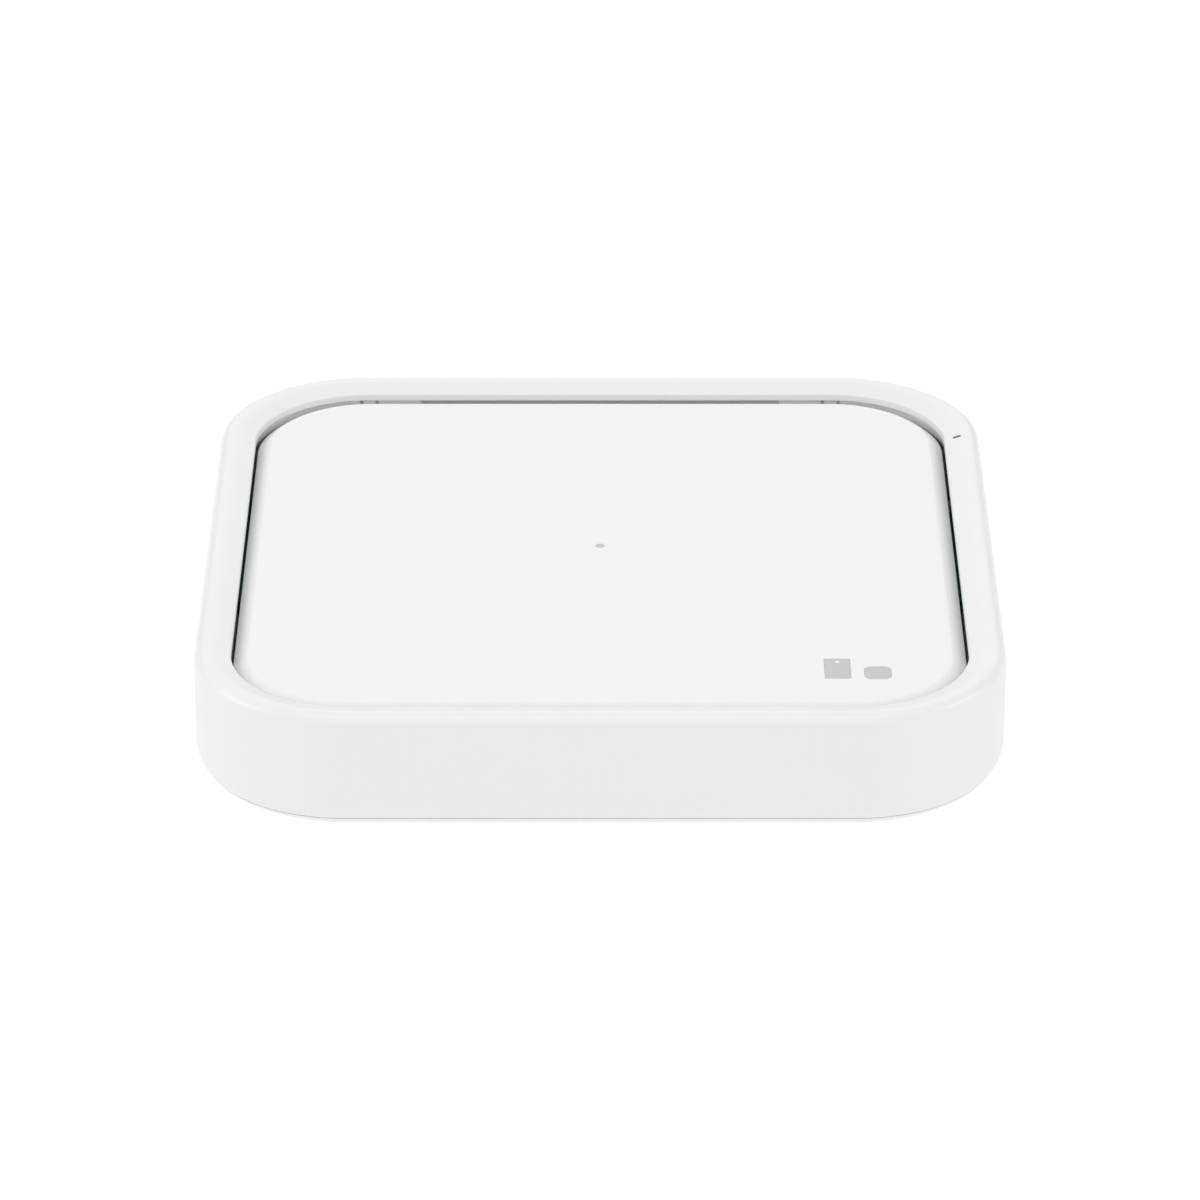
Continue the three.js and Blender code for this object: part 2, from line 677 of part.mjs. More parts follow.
function chargingPlate() {
  const innerInset = plateEdgeInset + PLATE_EDGE_T;
  const edgeZ = skirtZ - PLATE_EDGE_DEPTH;
  const plate = outlineSolid(
    [
      [innerInset, plateUnderZ],
      [innerInset, edgeZ],
      [plateEdgeInset, edgeZ],
      [plateEdgeInset, skirtZ],
      [plateEdgeInset + SKIRT_KNEE.across * SKIRT_WIDTH, skirtZ + SKIRT_KNEE.up * SKIRT_DROP],
      [plateFlatInset, plateTopZ],
    ],
    false,
  );
  const z0 = plateTopZ - MARK_T - MARK_CLEARANCE;
  const z1 = plateTopZ + 1;
  return cut(
    plate,
    cylinder(0, 0, z0, z1, DOT_R + MARK_CLEARANCE, 16),
    phoneMark(z0, z1, MARK_CLEARANCE),
    budsMark(z0, z1, MARK_CLEARANCE),
  );
}

add("charging_plate", chargingPlate(), plastic(WHITE, 0.45));
const markZ = plateTopZ - MARK_T;
add("centre_mark", cylinder(0, 0, markZ, plateTopZ, DOT_R, 16), plastic(PRINT_GREY, 0.6));
add("phone_mark", phoneMark(markZ, plateTopZ, 0), plastic(PRINT_GREY, 0.6));
add("earbud_case_mark", budsMark(markZ, plateTopZ, 0), plastic(PRINT_GREY, 0.6));

// ---------------------------------------------------------------- chassis and coil stack

/** Holes for the coil's two leads, through every layer between z0 and z1. */
function leadSlots(z0, z1) {
  return [innerLeadY, outerLeadY].map((y) =>
    box(-LEAD_SLOT.halfX, LEAD_SLOT.halfX, y - LEAD_SLOT.halfY, y + LEAD_SLOT.halfY, z0, z1),
  );
}

/** Reliefs for the inlet and the fan, which bite only where those reach into the chassis. */
function chassisReliefs() {
  const inletX = INLET.width / 2 + HEADROOM;
  const inletStart = inletMouthY - INLET.length - HEADROOM;
  const fanReach = FAN_HALF + HEADROOM;
  const fanTopZ = fanZ + FAN_HEIGHT + HEADROOM;
  const headTopZ = fanTopZ + STACK_GAP + FAN_SCREW.headH;
  return [
    box(-inletX, inletX, inletStart, halfY, 0, onBoardZ + INLET.height + HEADROOM),
    box(-fanReach, fanReach, fanY - fanReach, fanY + fanReach, 0, fanTopZ),
    ...fanScrewPlaces.map(({ x, y }) =>
      cylinder(x, fanY + y, 0, headTopZ, FAN_SCREW.headR + HEADROOM),
    ),
  ];
}

function innerChassis() {
  const wallInner = chassisWallInset + CHASSIS_WALL_T;
  const tray = outlineSolid(
    [
      [chassisInset, chassisZ],
      [chassisInset, chassisTopZ],
      [chassisWallInset, chassisTopZ],
      [chassisWallInset, chassisWallTopZ],
      [wallInner, chassisWallTopZ],
      [wallInner, chassisTopZ],
    ],
    false,
  );
  const holes = postPlaces.map(({ x, y }) =>
    cylinder(x, y, chassisZ - 1, chassisTopZ + 1, CHASSIS_SCREW.shankR + CHASSIS_SCREW.play, 12),
  );
  return cut(tray, ...holes, ...leadSlots(chassisZ - 1, chassisTopZ + 1), ...chassisReliefs());
}

add("inner_chassis", innerChassis(), plastic(0xe6e6e4, 0.6));

for (const { name, x, y } of postPlaces) {
  const mesh = add(`chassis_screw_${name}`, screw(CHASSIS_SCREW), metal(0x8d8f92));
  mesh.position.set(x, y, chassisTopZ + STACK_GAP - CHASSIS_SCREW.length);
}

const adhesiveOuter = chassisWallInset + STACK_GAP;
const adhesiveInner = chassisWallInset + CHASSIS_WALL_T - STACK_GAP;
const adhesiveZ = chassisWallTopZ + MARK_CLEARANCE;
const adhesiveTopZ = adhesiveZ + ADHESIVE_T;
add(
  "plate_adhesive",
  outlineSolid(
    [
      [adhesiveOuter, adhesiveZ],
      [adhesiveOuter, adhesiveTopZ],
      [adhesiveInner, adhesiveTopZ],
      [adhesiveInner, adhesiveZ],
    ],
    true,
  ),
  plastic(0x3a3a3c, 0.9),
);

const spreaderShape = roundedRectangle(SPREADER_HALF, SPREADER_HALF, SPREADER_R);
const spreader = prism(spreaderShape, spreaderZ, spreaderZ + SPREADER_T);
const headHoles = postPlaces.map(({ x, y }) =>
  cylinder(x, y, spreaderZ - 1, ferriteZ, CHASSIS_SCREW.headR + SPREADER_CLEARANCE),
);
add(
  "heat_spreader",
  cut(spreader, ...leadSlots(spreaderZ - 1, ferriteZ), ...headHoles),
  metal(0xc4c6c8, 0.3),
);

const ferriteTopZ = ferriteZ + FERRITE_T;
const ferrite = cylinder(0, 0, ferriteZ, ferriteTopZ, FERRITE_R, 32);
add(
  "ferrite_shield",
  cut(ferrite, ...leadSlots(ferriteZ - STACK_GAP / 2, ferriteTopZ + 1)),
  plastic(0x1c1c1e, 0.7),
);

const halfCoil = COIL_T / 2;
const coilRound = 0.25;
add(
  "charging_coil",
  turned(
    [
      [COIL_INNER_R, coilZ + coilRound],
      [COIL_INNER_R + coilRound, coilZ],
      [COIL_OUTER_R - coilRound, coilZ],
      [COIL_OUTER_R, coilZ + coilRound],
      [COIL_OUTER_R, coilTopZ - coilRound],
      [COIL_OUTER_R - coilRound, coilTopZ],
      [COIL_INNER_R + coilRound, coilTopZ],
      [COIL_INNER_R, coilTopZ - coilRound],
      [COIL_INNER_R, coilZ + coilRound],
    ],
    32,
  ),
  metal(0xb46a3c, 0.4),
);

// Each lead starts beside the coil, bends over and drops through its slot to the board.
const leadTopZ = coilZ + halfCoil;
const leadEndZ = boardTopZ + 0.3;
const leadBend = 1.2;
for (const [name, y] of [["inner", innerLeadY], ["outer", outerLeadY]]) {
  const route = [
    [0.8, y, leadTopZ],
    [0.3, y, leadTopZ - 0.25 * leadBend],
    [0, y, leadTopZ - leadBend],
    [0, y, (leadTopZ + leadEndZ) / 2],
    [0, y, leadEndZ],
  ];
  add(`coil_lead_${name}`, wire(route, LEAD_R, 8), metal(0xb46a3c, 0.4));
}

const thermistorZ = ferriteTopZ + STACK_GAP;
const thermistor = box(
  -THERMISTOR.x / 2,
  THERMISTOR.x / 2,
  -THERMISTOR.y / 2,
  THERMISTOR.y / 2,
  thermistorZ,
  thermistorZ + THERMISTOR.z,
);
add("thermistor", thermistor, plastic(0x20242a, 0.5));

// ---------------------------------------------------------------- main board

function mainBoard() {
  const sheet = outlineSolid([[boardEdge, boardZ], [boardEdge, boardTopZ]], false);
  const back = box(-halfX, halfX, BOARD_FRONT_Y, halfY, boardZ - 1, boardTopZ + 1);
  const cuts = [];
  for (const { x, y, sy } of caseScrewPlaces) {
    if (sy > 0) {
      const reach = HOUSING_BOSS_R + 2 * BOARD_HOLE_CLEARANCE;
      cuts.push(cylinder(x, y, boardZ - 1, boardTopZ + 1, reach));
      cuts.push(box(x - reach, x + reach, y, halfY, boardZ - 1, boardTopZ + 1));
    }
  }
  for (const { x, y } of postPlaces) {
    cuts.push(cylinder(x, y, boardZ - 1, boardTopZ + 1, POST_R + BOARD_HOLE_CLEARANCE));
  }
  for (const { x, y } of boardScrewPlaces) {
    cuts.push(cylinder(x, y, boardZ - 1, boardTopZ + 1, BOARD_SCREW.shankR + BOARD_SCREW.play, 12));
  }
  return cut(common(sheet, back), ...cuts);
}

add("main_board", mainBoard(), plastic(0x1f6b45, 0.5));

for (const { name, x, y } of boardScrewPlaces) {
  const mesh = add(`board_screw_${name}`, screw(BOARD_SCREW), metal(0x8d8f92));
  mesh.position.set(x, y, boardTopZ + STACK_GAP - BOARD_SCREW.length);
}

/** Component body standing on the board. */
function onBoard(name, x, y, size, material) {
  const mesh = add(name, new THREE.BoxGeometry(...size), material);
  mesh.position.set(x, y, onBoardZ + size[2] / 2);
}

for (const [name, { x, y, size, color }] of Object.entries(COMPONENTS)) {
  onBoard(name, x, y, size, plastic(color, 0.5));
}
for (let i = 0; i < CAPACITOR_COUNT; i += 1) {
  const { x, y, pitch, size } = CAPACITOR;
  onBoard(`resonance_capacitor_${i + 1}`, x - i * pitch, y, size, plastic(0xb08a5c, 0.5));
}
onBoard("status_led", halfX - boardEdge - LED.x / 2, lightY, [LED.x, LED.y, LED.z], plastic(0xe8e6d8));
onBoard("fan_connector", CONNECTOR.x, CONNECTOR.y, CONNECTOR.size, plastic(0xece8dc, 0.5));

// ---------------------------------------------------------------- power inlet

function inletShell() {
  const { width, height, length, wall } = INLET;
  const outer = prism(roundedRectangle(width / 2, height / 2, height / 2), 0, length);
  const hollow = prism(
    roundedRectangle(width / 2 - wall, height / 2 - wall, height / 2 - wall),
    wall,
    length + 1,
  );
  return cut(outer, hollow).rotateX(-Math.PI / 2);
}

const shell = add("inlet_shell", inletShell(), metal(0xc9cacc, 0.25));
shell.position.set(0, inletMouthY - INLET.length, inletZ);

const contactStart = inletMouthY - INLET.length + INLET.wall + STACK_GAP;
const contacts = new THREE.BoxGeometry(TONGUE_BOARD.width, TONGUE_BOARD.length, TONGUE_BOARD.height);
const contactBoard = add("inlet_contact_board", contacts, plastic(0x1d1e20, 0.5));
contactBoard.position.set(0, contactStart + TONGUE_BOARD.length / 2, inletZ);

// ---------------------------------------------------------------- light pipe

function lightPipe() {
  const shoulder = lipBottomZ - LIGHT_CLEARANCE;
  const bladeZ = shoulder - LIGHT_CLEARANCE;
  const stem = cylinder(lightX, lightY, pipeFootZ, shoulder, LIGHT_PIPE_R, 16);
  const shape = roundedRectangle(LIGHT_SLOT.length / 2, LIGHT_SLOT.width / 2, LIGHT_SLOT.width / 2);
  const blade = prism(shape, bladeZ, HEIGHT).translate(lightX, lightY, 0);
  const top = [...rimCrown(), [RIM_WIDTH, lipTopZ]].map(([inset, z]) => [inset, z - LIGHT_RECESS]);
  const underRim = outlineSolid([[crestInset, bladeZ - 1], ...top, [RIM_WIDTH, bladeZ - 1]], true);
  return join(stem, common(blade, underRim));
}

add("light_pipe", lightPipe(), plastic(0x26282b, 0.3));

// ---------------------------------------------------------------- fan

const fanCavityTop = FAN_HEIGHT - FAN_COVER_T;
const bearingTubeR = BEARING_R + STACK_GAP + BEARING_TUBE_T;
const bearingTubeTop = fanCavityTop - BEARING_TUBE_DROP;
const rotorPlateZ = fanCavityTop - ROTOR_TOP_GAP - ROTOR_PLATE_T;
const rotorTopZ = rotorPlateZ + ROTOR_PLATE_T;
const bladeZ = FAN_FLOOR_T + ROTOR_GAP;

/** Part of the ring-shaped inlet between two spokes. */
function inletSector(i) {
  const [innerR, outerR] = FAN_INLET_R;
  const turn = (2 * Math.PI) / FAN_SPOKES;
  const start = i * turn + FAN_SPOKE_T / 2 / outerR;
  const end = (i + 1) * turn - FAN_SPOKE_T / 2 / outerR;
  const shape = new THREE.Shape();
  shape.absarc(0, 0, outerR, start, end, false);
  shape.absarc(0, 0, innerR, end, start, true);
  return prism(shape, -1, FAN_FLOOR_T + 1, 8);
}

function fanScrewHoles(z0, z1) {
  return fanScrewPlaces.map(({ x, y }) => cylinder(x, y, z0, z1, FAN_SCREW.shankR + FAN_SCREW.play, 12));
}

function fanFrame() {
  const outline = roundedRectangle(FAN_HALF, FAN_HALF, FAN_CORNER_R);
  const block = prism(outline, 0, fanCavityTop - STACK_GAP);
  const cavity = cylinder(0, 0, FAN_FLOOR_T, FAN_HEIGHT, FAN_CAVITY_R, 28);
  const outlet = box(-FAN_HALF - 1, 0, FAN_OUTLET[0], FAN_OUTLET[1], FAN_FLOOR_T, FAN_HEIGHT);
  const sectors = Array.from({ length: FAN_SPOKES }, (_, i) => inletSector(i));
  const hollow = cut(block, cavity, outlet, ...sectors, ...fanScrewHoles(-1, FAN_HEIGHT));
  const tube = turnedRing(
    BEARING_R + STACK_GAP,
    bearingTubeR,
    FAN_FLOOR_T - STACK_GAP,
    bearingTubeTop,
  );
  return join(hollow, tube);
}

function fanCover() {
  const outline = roundedRectangle(FAN_HALF - 0.2, FAN_HALF - 0.2, FAN_CORNER_R);
  return cut(prism(outline, fanCavityTop, FAN_HEIGHT), ...fanScrewHoles(0, FAN_HEIGHT + 1));
}

/** One curved blade, leaning back from its root to its tip. */
function blade(i) {
  const [rootR, tipR] = BLADE_R;
  const steps = 2;
  const start = (i / BLADES) * 2 * Math.PI;
  const leading = [];
  const trailing = [];
  for (let step = 0; step <= steps; step += 1) {
    const share = step / steps;
    const r = rootR + share * (tipR - rootR);
    const angle = start - BLADE_SWEEP * share ** 1.5;
    const halfAngle = BLADE_T / 2 / r;
    leading.push(new THREE.Vector2(r * Math.cos(angle - halfAngle), r * Math.sin(angle - halfAngle)));
    trailing.push(new THREE.Vector2(r * Math.cos(angle + halfAngle), r * Math.sin(angle + halfAngle)));
  }
  const shape = new THREE.Shape([...leading, ...trailing.reverse()]);
  return prism(shape, bladeZ, rotorPlateZ + STACK_GAP);
}

function impeller() {
  const bossZ = bearingTubeTop + 0.2;
  const boreR = SHAFT_R + STACK_GAP;
  const hub = turned([
    [HUB_R - HUB_WALL, bladeZ],
    [HUB_R, bladeZ],
    [HUB_R, rotorPlateZ],
    [ROTOR_PLATE_R, rotorPlateZ],
    [ROTOR_PLATE_R, rotorTopZ],
    [boreR, rotorTopZ],
    [boreR, bossZ],
    [2 * SHAFT_R, bossZ],
    [2 * SHAFT_R, rotorPlateZ],
    [HUB_R - HUB_WALL, rotorPlateZ],
    [HUB_R - HUB_WALL, bladeZ],
  ], 30);
  return join(hub, ...Array.from({ length: BLADES }, (_, i) => blade(i)));
}

function stator() {
  const teeth = 6;
  const coreR = bearingTubeR + STATOR_CORE_T;
  const z0 = FAN_FLOOR_T + STATOR_LIFT;
  const z1 = bearingTubeTop - 0.1;
  const core = turnedRing(bearingTubeR + STACK_GAP, coreR, z0, z1);
  const arms = [];
  for (let i = 0; i < teeth; i += 1) {
    const arm = box(coreR - 0.3, STATOR_R, -STATOR_TOOTH_HALF, STATOR_TOOTH_HALF, z0, z1);
    arms.push(arm.rotateZ((i / teeth) * 2 * Math.PI));
  }
  return join(core, ...arms);
}

const magnetOuterR = HUB_R - HUB_WALL - STACK_GAP;
add("fan_frame", fanFrame(), plastic(0x232426, 0.55), fan);
add("fan_cover", fanCover(), metal(0xb7b9bb, 0.3), fan);
add("fan_impeller", impeller(), plastic(0x2d2e31, 0.5), fan);
add(
  "fan_magnet",
  turnedRing(magnetOuterR - MAGNET_T, magnetOuterR, bladeZ + 0.1, rotorPlateZ - 0.3),
  metal(0x4a4b4e, 0.5),
  fan,
);
add(
  "fan_shaft",
  cylinder(0, 0, FAN_FLOOR_T + 0.2, rotorTopZ - 0.1, SHAFT_R, 24),
  metal(0xd2d4d6, 0.2),
  fan,
);
add(
  "fan_bearing",
  turnedRing(SHAFT_R + SHAFT_CLEARANCE, BEARING_R, FAN_FLOOR_T + 0.05, bearingTubeTop - 0.1),
  metal(0xb08d4f, 0.4),
  fan,
);
add("fan_stator", stator(), metal(0xa5653a, 0.45), fan);
const driverZ = FAN_FLOOR_T + STACK_GAP;
add(
  "fan_driver_board",
  turnedRing(bearingTubeR + STACK_GAP, HUB_R - HUB_WALL, driverZ, driverZ + DRIVER_BOARD_T),
  plastic(0x1f6b45, 0.5),
  fan,
);
for (const { name, x, y } of fanScrewPlaces) {
  const mesh = add(`fan_screw_${name}`, screw(FAN_SCREW), metal(0x8d8f92), fan);
  mesh.position.set(x, y, FAN_HEIGHT + STACK_GAP - FAN_SCREW.length);
}

// The fan's lead runs over the board's front edge to its connector.
const leadGap = 0.3;
add(
  "fan_lead",
  wire(
    [
      [FAN_HALF + leadGap, fanY + 9, fanZ + 2.4],
      [CONNECTOR.x - 1.5, fanY + 11, fanZ + 2.5],
      [CONNECTOR.x, fanY + 15, onBoardZ + 0.8],
      [CONNECTOR.x, CONNECTOR.y - CONNECTOR.size[1] / 2 - leadGap, onBoardZ + 0.8],
    ],
    FAN_LEAD_R,
    8,
  ),
  plastic(0x1a1a1c, 0.6),
);

export default pad;
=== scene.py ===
import json
import math

import bmesh
import bpy
from mathutils import Matrix, Vector


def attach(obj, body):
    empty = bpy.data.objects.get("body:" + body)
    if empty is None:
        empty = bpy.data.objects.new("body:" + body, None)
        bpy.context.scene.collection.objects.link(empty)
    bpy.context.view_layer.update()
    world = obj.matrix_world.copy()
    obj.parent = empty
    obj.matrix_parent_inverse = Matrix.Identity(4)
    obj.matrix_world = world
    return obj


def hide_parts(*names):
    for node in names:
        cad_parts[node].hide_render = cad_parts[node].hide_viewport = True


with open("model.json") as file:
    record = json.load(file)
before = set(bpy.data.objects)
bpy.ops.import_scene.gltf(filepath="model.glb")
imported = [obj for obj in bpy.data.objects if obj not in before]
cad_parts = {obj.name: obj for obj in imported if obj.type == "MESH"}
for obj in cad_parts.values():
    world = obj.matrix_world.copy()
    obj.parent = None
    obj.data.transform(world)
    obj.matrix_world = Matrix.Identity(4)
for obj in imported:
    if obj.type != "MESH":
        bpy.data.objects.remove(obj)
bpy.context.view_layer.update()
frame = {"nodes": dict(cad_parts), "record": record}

# ---------------------------------------------------------------- sizes of the CAD model, mm
MM = 0.001
HALF = 45.0
CORNER_R, CORNER_SHRINK = 16.8, 0.88
BASE_Z, FLOOR_Z, HEIGHT = 0.5, 2.1, 15.0
WALL, TOP_FILLET, BOTTOM_FILLET = 1.8, 1.1, 4.0
SEAM_LOW, SEAM_HIGH = 2.15, 2.25
RIM_WIDTH, LIP_TOP, LIP_BOTTOM, LIP_R, LIP_CHAMFER = 4.08, 14.25, 13.39, 0.2, 0.06
CREST, CROWN = 1.2, 1.5
SLOPE = (HEIGHT - LIP_TOP) / (RIM_WIDTH - CREST - CROWN / 2)
RAIL_INSET, RAIL_BOTTOM = 3.7, 12.19
VENT_INSET, VENT_DROP, SIDE_VENT_REACH, BACK_VENT_REACH = 3.2, 2.2, 28.0, 21.6
CATCH_SLITS, SLIT_HALF = (26.9, 28.8), 0.175
COVER_RIM_OUT, COVER_RIM_IN, COVER_RIM_TOP = 2.0, 3.0, 4.0
FOOT_OUT, FOOT_IN, FOOT_END, FOOT_TOP, FOOT_GAP = 5.5, 11.5, 12.0, 1.15, 0.15
FOOT_POCKET = 0.7
PLATE_INSET, PLATE_FLAT, PLATE_TOP, PLATE_UNDER = 4.32, 5.87, 13.82, 12.62
PLATE_RING_INSET, PLATE_RING_BOTTOM = 5.42, 11.62
SKIRT_FOOT, SKIRT_BEND = 12.62, (5.40, 13.55)
MARK_T, MARK_POCKET, MARK_GAP = 0.12, 0.15, 0.03
CENTRE_MARK_R, CENTRE_POCKET_R = 0.5, 0.53
PHONE_LENS, PHONE_LENS_R, PHONE_LENS_ISLAND_R = (26.25, -29.35), 0.30, 0.27
INLET_W, INLET_H, INLET_L, INLET_Z, INLET_MOUTH = 8.94, 3.26, 7.35, 6.88, 44.4
INLET_GAP, INLET_WALL, INLET_LIP, INLET_EDGE = 0.27, 0.3, 0.24, 0.06
CONTACTS, CONTACT_PITCH, CONTACT_HALF, CONTACT_BOARD_W = 12, 0.5, 0.13, 6.69
LIGHT_X, LIGHT_Y, LIGHT_RECESS = 42.4, 27.7, 0.06
COIL_IN, COIL_OUT, COIL_LOW, COIL_HIGH, COIL_TURNS = 10.25, 22.0, 11.35, 12.5, 10
CASE_SCREW = 33.5
BOARD_SCREW_X, BOARD_SCREW_Y = 14.0, 37.5
POSTS = [(-31.0, -18.0), (31.0, -18.0), (-34.0, 14.0), (34.0, 14.0)]
FAN_Y, FAN_SCREW = -17.0, 15.3
GRILLE_R, GRILLE_PITCH, GRILLE_SLOT_HALF = 12.0, 3.0, 0.8

# round bosses and holes: radius, sides, bottom and top
HOUSING_BOSS = (2.6, 40, 3.65, 8.25)
CASE_PILOT = (0.7, 16, 2.6, 7.55)
COVER_BOSS = (3.4, 40, 2.05, 3.6)
CASE_HEAD_POCKET = (1.9, 32, 1.0, 2.4)
CASE_SHANK_HOLE = (0.95, 20, 2.3, 5)
BOARD_POST = (2.0, 28, 2.05, 4.15)
BOARD_PILOT = (0.6, 16, 1.3, 5.2)
CHASSIS_POST_FOOT = (3.2, 36, 2.05, 4.15)
CHASSIS_POST = (2.3, 32, 2.05, 8.75)
CHASSIS_PILOT = (0.7, 16, 4.55, 9.8)
FAN_PILOT = (0.6, 16, 0.9, 3.1)
PIPE_HOLE = (0.67, 28, LIP_BOTTOM - VENT_DROP, LIP_BOTTOM)
PIPE_STEM = (0.55, 32, 6.15, 13.27)

CORNERS = {"front_left": (-1, -1), "front_right": (1, -1), "back_left": (-1, 1), "back_right": (1, 1)}


# ---------------------------------------------------------------- mesh helpers
def outline(inset, z, steps=28, hold=0.5):
    """The pad's outline moved in by inset, with a holding point on each flat beside its arcs."""
    r = max(CORNER_R - CORNER_SHRINK * inset, 0.5)
    c = HALF - inset - r
    ring = []
    for quarter, (sx, sy) in enumerate(((1, 1), (-1, 1), (-1, -1), (1, -1))):
        angles = [(quarter + k / steps) * math.pi / 2 for k in range(steps + 1)]
        points = [Vector((sx * c + r * math.cos(a), sy * c + r * math.sin(a), z)) for a in angles]
        first = Vector((-math.sin(angles[0]), math.cos(angles[0]), 0))
        last = Vector((-math.sin(angles[-1]), math.cos(angles[-1]), 0))
        ring += [points[0] - hold * first, *points, points[-1] + hold * last]
    return ring


def stadium(half_w, half_h, r, steps=10):
    """Rectangle with round corners, anticlockwise, as 2-D points."""
    points = []
    for quarter, (sx, sy) in enumerate(((1, 1), (-1, 1), (-1, -1), (1, -1))):
        for k in range(steps + 1):
            a = (quarter + k / steps) * math.pi / 2
            p = (sx * (half_w - r) + r * math.cos(a), sy * (half_h - r) + r * math.sin(a))
            if not points or math.dist(p, points[-1]) > 1e-6:
                points.append(p)
    if math.dist(points[0], points[-1]) < 1e-6:
        points.pop()
    return points


def circle(r, steps=32, x=0.0, y=0.0):
    angles = [2 * math.pi * k / steps for k in range(steps)]
    return [(x + r * math.cos(a), y + r * math.sin(a)) for a in angles]


def rectangle(x0, x1, y0, y1):
    return [(x0, y0), (x1, y0), (x1, y1), (x0, y1)]


def moved(points, dx, dy):
    return [(x + dx, y + dy) for x, y in points]


def loft(bm, rings, closed=False):
    """Quads between rings of points; the ends are filled unless the profile closes on itself."""
    verts = [[bm.verts.new(p) for p in ring] for ring in rings]
    count = len(verts[0])
    spans = len(verts) if closed else len(verts) - 1
    for i in range(spans):
        low, high = verts[i], verts[(i + 1) % len(verts)]
        for k in range(count):
            n = (k + 1) % count
            bm.faces.new((low[k], low[n], high[n], high[k]))
    if not closed:
        bm.faces.new(list(reversed(verts[0])))
        bm.faces.new(verts[-1])
    return verts


def mark_edges(bm, sharp):
    """Smooth faces, with edges sharper than sharp degrees, or open, kept sharp."""
    for f in bm.faces:
        f.smooth = True
    for e in bm.edges:
        e.smooth = len(e.link_faces) == 2 and e.calc_face_angle(0) < math.radians(sharp)


def mesh_object(name, bm, sharp=32):
    """bm in millimetres becomes an object in metres, smooth except at edges sharper than sharp."""
    bmesh.ops.recalc_face_normals(bm, faces=bm.faces)
    bmesh.ops.scale(bm, vec=(MM, MM, MM), verts=bm.verts)
    mark_edges(bm, sharp)
    me = bpy.data.meshes.new(name)
    bm.to_mesh(me)
    bm.free()
    o = bpy.data.objects.new(name, me)
    bpy.context.scene.collection.objects.link(o)
    return o


def swept(name, profile, closed):
    """The pad's outline swept through a profile of (inset, z)."""
    bm = bmesh.new()
    loft(bm, [outline(i, z) for i, z in profile], closed)
    return mesh_object(name, bm)


def prism(name, points, z0, z1, flare=None):
    """Upright prism over 2-D points; flare = (grow, depth) widens its top end as a chamfer."""
    bm = bmesh.new()
    levels = [(0.0, z0), (0.0, z1)]
    if flare:
        levels = [(0.0, z0), (0.0, z1 - flare[1]), (flare[0], z1)]
    cx = sum(p[0] for p in points) / len(points)
    cy = sum(p[1] for p in points) / len(points)
    rx = max(p[0] for p in points) - cx
    ry = max(p[1] for p in points) - cy
    rings = []
    for grow, z in levels:
        wider, deeper = 1 + grow / rx, 1 + grow / ry
        rings.append([Vector((cx + (x - cx) * wider, cy + (y - cy) * deeper, z)) for x, y in points])
    loft(bm, rings)
    return mesh_object(name, bm)


def rod(x, y, radius, sides, low, high):
    """Upright round prism, for a boss, a post or a hole."""
    return prism("rod", circle(radius, sides, x, y), low, high)


def combine(body, tools, operation):
    """Boolean of body with tools, applied, and the tools removed."""
    for tool in tools:
        modifier = body.modifiers.new("b", "BOOLEAN")
        modifier.operation = operation
        modifier.solver = "EXACT"
        modifier.object = tool
    graph = bpy.context.evaluated_depsgraph_get()
    me = bpy.data.meshes.new_from_object(body.evaluated_get(graph))
    body.modifiers.clear()
    old = body.data
    body.data = me
    bpy.data.meshes.remove(old)
    for tool in tools:
        data = tool.data
        bpy.data.objects.remove(tool)
        bpy.data.meshes.remove(data)
    return body


def finish_mesh(o, sharp=32):
    """Welds stray doubles and marks sharp edges again after booleans."""
    bm = bmesh.new()
    bm.from_mesh(o.data)
    bmesh.ops.remove_doubles(bm, verts=bm.verts, dist=2e-7)
    bmesh.ops.dissolve_degenerate(bm, edges=bm.edges, dist=1e-7)
    bmesh.ops.recalc_face_normals(bm, faces=bm.faces)
    mark_edges(bm, sharp)
    bm.to_mesh(o.data)
    bm.free()
    return o


def arc_profile(cx, cz, r, a0, a1, steps):
    """Points on a circle, as (inset, z); inset grows inwards from the wall."""
    out = []
    for k in range(steps + 1):
        a = a0 + (a1 - a0) * k / steps
        out.append((cx - r * math.cos(a), cz + r * math.sin(a)))
    return out


# ---------------------------------------------------------------- materials
BROAD_SCALE, RELIEF_DEPTH, RAMP_LOW, RAMP_HIGH = 60.0, 2e-5, 0.3, 0.7


